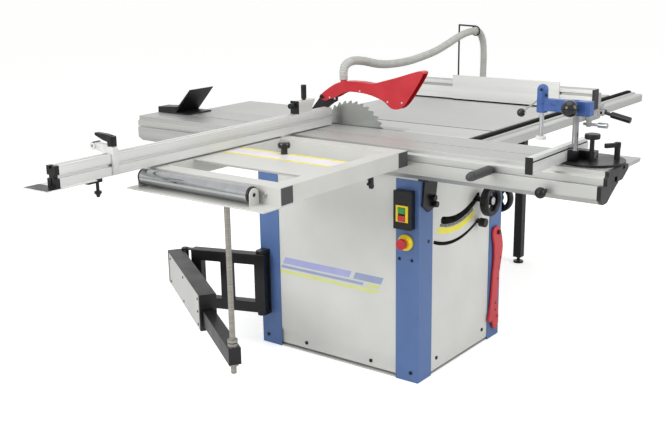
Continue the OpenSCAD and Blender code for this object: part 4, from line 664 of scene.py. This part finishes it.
# plugs in the open ends of the crosscut frame's tubes, of the mitre fence and of the rip fence
plugLook = {"edge": 0.7, "thick": 2, "wide": 51}
plugs = {
    "framePlugs": ("carriage", "black_plastic", "charcoalNylon", [
        ((x, y, 796), (x + plugLook["thick"], y + plugLook["wide"], 846))
        for x in (340, -217) for y in (-998, -398)]),
    "mitreFencePlug": ("mitre", "black_plastic", "blackNylon", [((844, -508, 857.5), (868, -505, 907.5))]),
    "ripFencePlug": ("rip", "black_plastic", "blackNylon", [((525, 735, 853), (530, 790, 935))]),
}
for plugName, (body, slot, finish, boxes) in plugs.items():
    placePiece(plugName, body, [(block(low, high, plugLook["edge"]), finish) for low, high in boxes])

# yellow edging of the slat, with a tinted strip between
slatTrim = {"top": 848, "thick": 0.4, "edge": 0.15, "x": (-159, 284), "strips": [
    (-700, -686, "yellowVinyl"), (-685, -620, "paleLilacVinyl"), (-619, -603, "yellowVinyl")]}


def buildSlatStrips(look):
    (left, right), top = look["x"], look["top"]
    parts = []
    for start, stop, finish in look["strips"]:
        strip = block((left, start, top), (right, stop, top + look["thick"]), look["edge"])
        parts.append((strip, finish))
    placePiece("slatStrips", "carriage", parts)


buildSlatStrips(slatTrim)
print("plugs and edging set")

# yellow plate round the two buttons, cut open where they stand, and the box's latch
switchPlate = {"x": (285, 334), "z": (594, 652), "front": -331.4, "back": -329.9, "edge": 0.3,
               "openX": (294, 323), "openZ": [(596, 618), (623, 645)],
               "latch": ((270, -322, 676), (274.5, -308, 690)), "latchEdge": 1.2}


def buildSwitchPlate(look):
    deselectAll()
    bpy.ops.mesh.primitive_plane_add(size=0.001, rotation=(math.pi / 2, 0, 0), location=(
        sum(look["x"]) / 2000, look["back"] / 1000, sum(look["z"]) / 2000))
    bpy.ops.transform.resize(value=(look["x"][1] - look["x"][0], 1, look["z"][1] - look["z"][0]))
    bpy.ops.object.transform_apply(location=True, rotation=True, scale=True)
    piece = bpy.context.object
    bpy.ops.object.mode_set(mode="EDIT")
    for x in look["openX"]:
        cutAcross("x", x)
    for z in [edge for pair in look["openZ"] for edge in pair]:
        cutAcross("z", z)
    bpy.ops.mesh.select_all(action="DESELECT")
    bpy.ops.object.mode_set(mode="OBJECT")
    for face in piece.data.polygons:
        x, z = face.center[0] * 1000, face.center[2] * 1000
        inX = look["openX"][0] < x < look["openX"][1]
        face.select = inX and any(low < z < high for low, high in look["openZ"])
    bpy.ops.object.mode_set(mode="EDIT")
    bpy.ops.mesh.delete(type="FACE")
    bpy.ops.mesh.select_all(action="SELECT")
    thick = (0, (look["front"] - look["back"]) / 1000, 0)
    bpy.ops.mesh.extrude_region_move(TRANSFORM_OT_translate={"value": thick})
    bpy.ops.mesh.select_all(action="SELECT")
    bpy.ops.mesh.normals_make_consistent(inside=False)
    bpy.ops.object.mode_set(mode="OBJECT")
    roundEdges(piece, look["edge"])
    latch = block(*look["latch"], look["latchEdge"])
    placePiece("switchPlate", "cabinet", [(piece, "yellowAbs"), (latch, "blackNylon")])


buildSwitchPlate(switchPlate)

# light cover along the arm box, with its screws; u runs along the arm from the elbow
armCover = {"elbow": (-632.2, -437.1), "turn": -33.6, "u": (14, 552), "z": (238, 362), "v": (-67, -65.9),
            "edge": 0.4,
            "screws": [(40, 346), (40, 254), (285, 346), (285, 254), (536, 346), (536, 300), (536, 254)]}


def buildArmCover(look):
    (u0, u1), (v0, v1), (z0, z1) = look["u"], look["v"], look["z"]
    parts = [(block((u0, v0, z0), (u1, v1, z1), look["edge"]), "satinTablePaint")]
    for u, z in look["screws"]:
        parts.append((turned((u, v0, z), ways["left"], headShapes["coverScrew"]), "blackOxide"))
    for piece, finish in parts:
        pick(piece)
        piece.rotation_euler[2] = math.radians(look["turn"])
        piece.location = (look["elbow"][0] / 1000, look["elbow"][1] / 1000, 0)
        bpy.ops.object.transform_apply(location=True, rotation=True, scale=True)
    placePiece("armCover", "arm", parts)


buildArmCover(armCover)
print("switch plate and arm cover set")

# floor and light: white studio, the floor keeps the shadow
studio = {"floorSize": 60, "floorDrop": 0.0005, "floorColour": "#F2F2F1", "floorRough": 0.9,
          "floorLift": 0.5, "worldLight": 0.5}
deselectAll()
bpy.ops.mesh.primitive_plane_add(size=studio["floorSize"], location=(0, 0, -studio["floorDrop"]))
bpy.ops.object.transform_apply(location=True, rotation=True, scale=True)
floor = bpy.context.object
floor.name = "studioFloor"
paper = bpy.data.materials.new("whitePaperFloor")
paper.use_nodes = True
tree = paper.node_tree
sheet = tree.nodes["Principled BSDF"]
sheet.inputs["Base Color"].default_value = linear(studio["floorColour"])
sheet.inputs["Roughness"].default_value = studio["floorRough"]
sheet.inputs["Emission Color"].default_value = (1, 1, 1, 1)
path = addNode(tree, "ShaderNodeLightPath")
seen = addNode(tree, "ShaderNodeMath", {"operation": "MULTIPLY", 1: studio["floorLift"]},
               {0: (path, "Is Camera Ray")})
tree.links.new(seen.outputs["Value"], sheet.inputs["Emission Strength"])
floor.data.materials.append(paper)

world = bpy.data.worlds.new("whiteStudio")
bpy.context.scene.world = world
world.use_nodes = True
tree = world.node_tree
tree.nodes.clear()
path = addNode(tree, "ShaderNodeLightPath")
glossy = addNode(tree, "ShaderNodeMath", {"operation": "MAXIMUM"},
                 {0: (path, "Is Camera Ray"), 1: (path, "Is Glossy Ray")})
clear = addNode(tree, "ShaderNodeMath", {"operation": "MAXIMUM"},
                {0: (glossy, "Value"), 1: (path, "Is Transmission Ray")})
lit = addNode(tree, "ShaderNodeBackground", {"Color": (1, 1, 1, 1), "Strength": studio["worldLight"]})
white = addNode(tree, "ShaderNodeBackground", {"Color": (1, 1, 1, 1), "Strength": 1.0})
both = addNode(tree, "ShaderNodeMixShader", {}, {"Fac": (clear, "Value"), 1: (lit, 0), 2: (white, 0)})
addNode(tree, "ShaderNodeOutputWorld", {}, {"Surface": (both, "Shader")})

lamps = [
    {"name": "topSoftbox", "place": (0.4, -0.6, 4.2), "aim": (0, 0.1, 0.6), "size": 4.0, "power": 60},
    {"name": "frontSoftbox", "place": (4.5, 0.5, 2.4), "aim": (0, 0.2, 0.5), "size": 3.0, "power": 78},
    {"name": "leftSoftbox", "place": (-1.0, -4.6, 2.6), "aim": (0, 0, 0.5), "size": 3.0, "power": 125},
]
for lamp in lamps:
    bpy.ops.object.light_add(type="AREA", location=lamp["place"])
    light = bpy.context.object
    light.name = lamp["name"]
    light.data.shape = "DISK"
    light.data.size = lamp["size"]
    light.data.energy = lamp["power"]
    light.rotation_euler = (Vector(lamp["aim"]) - Vector(lamp["place"])).to_track_quat("-Z", "Y").to_euler()
print("studio lit")
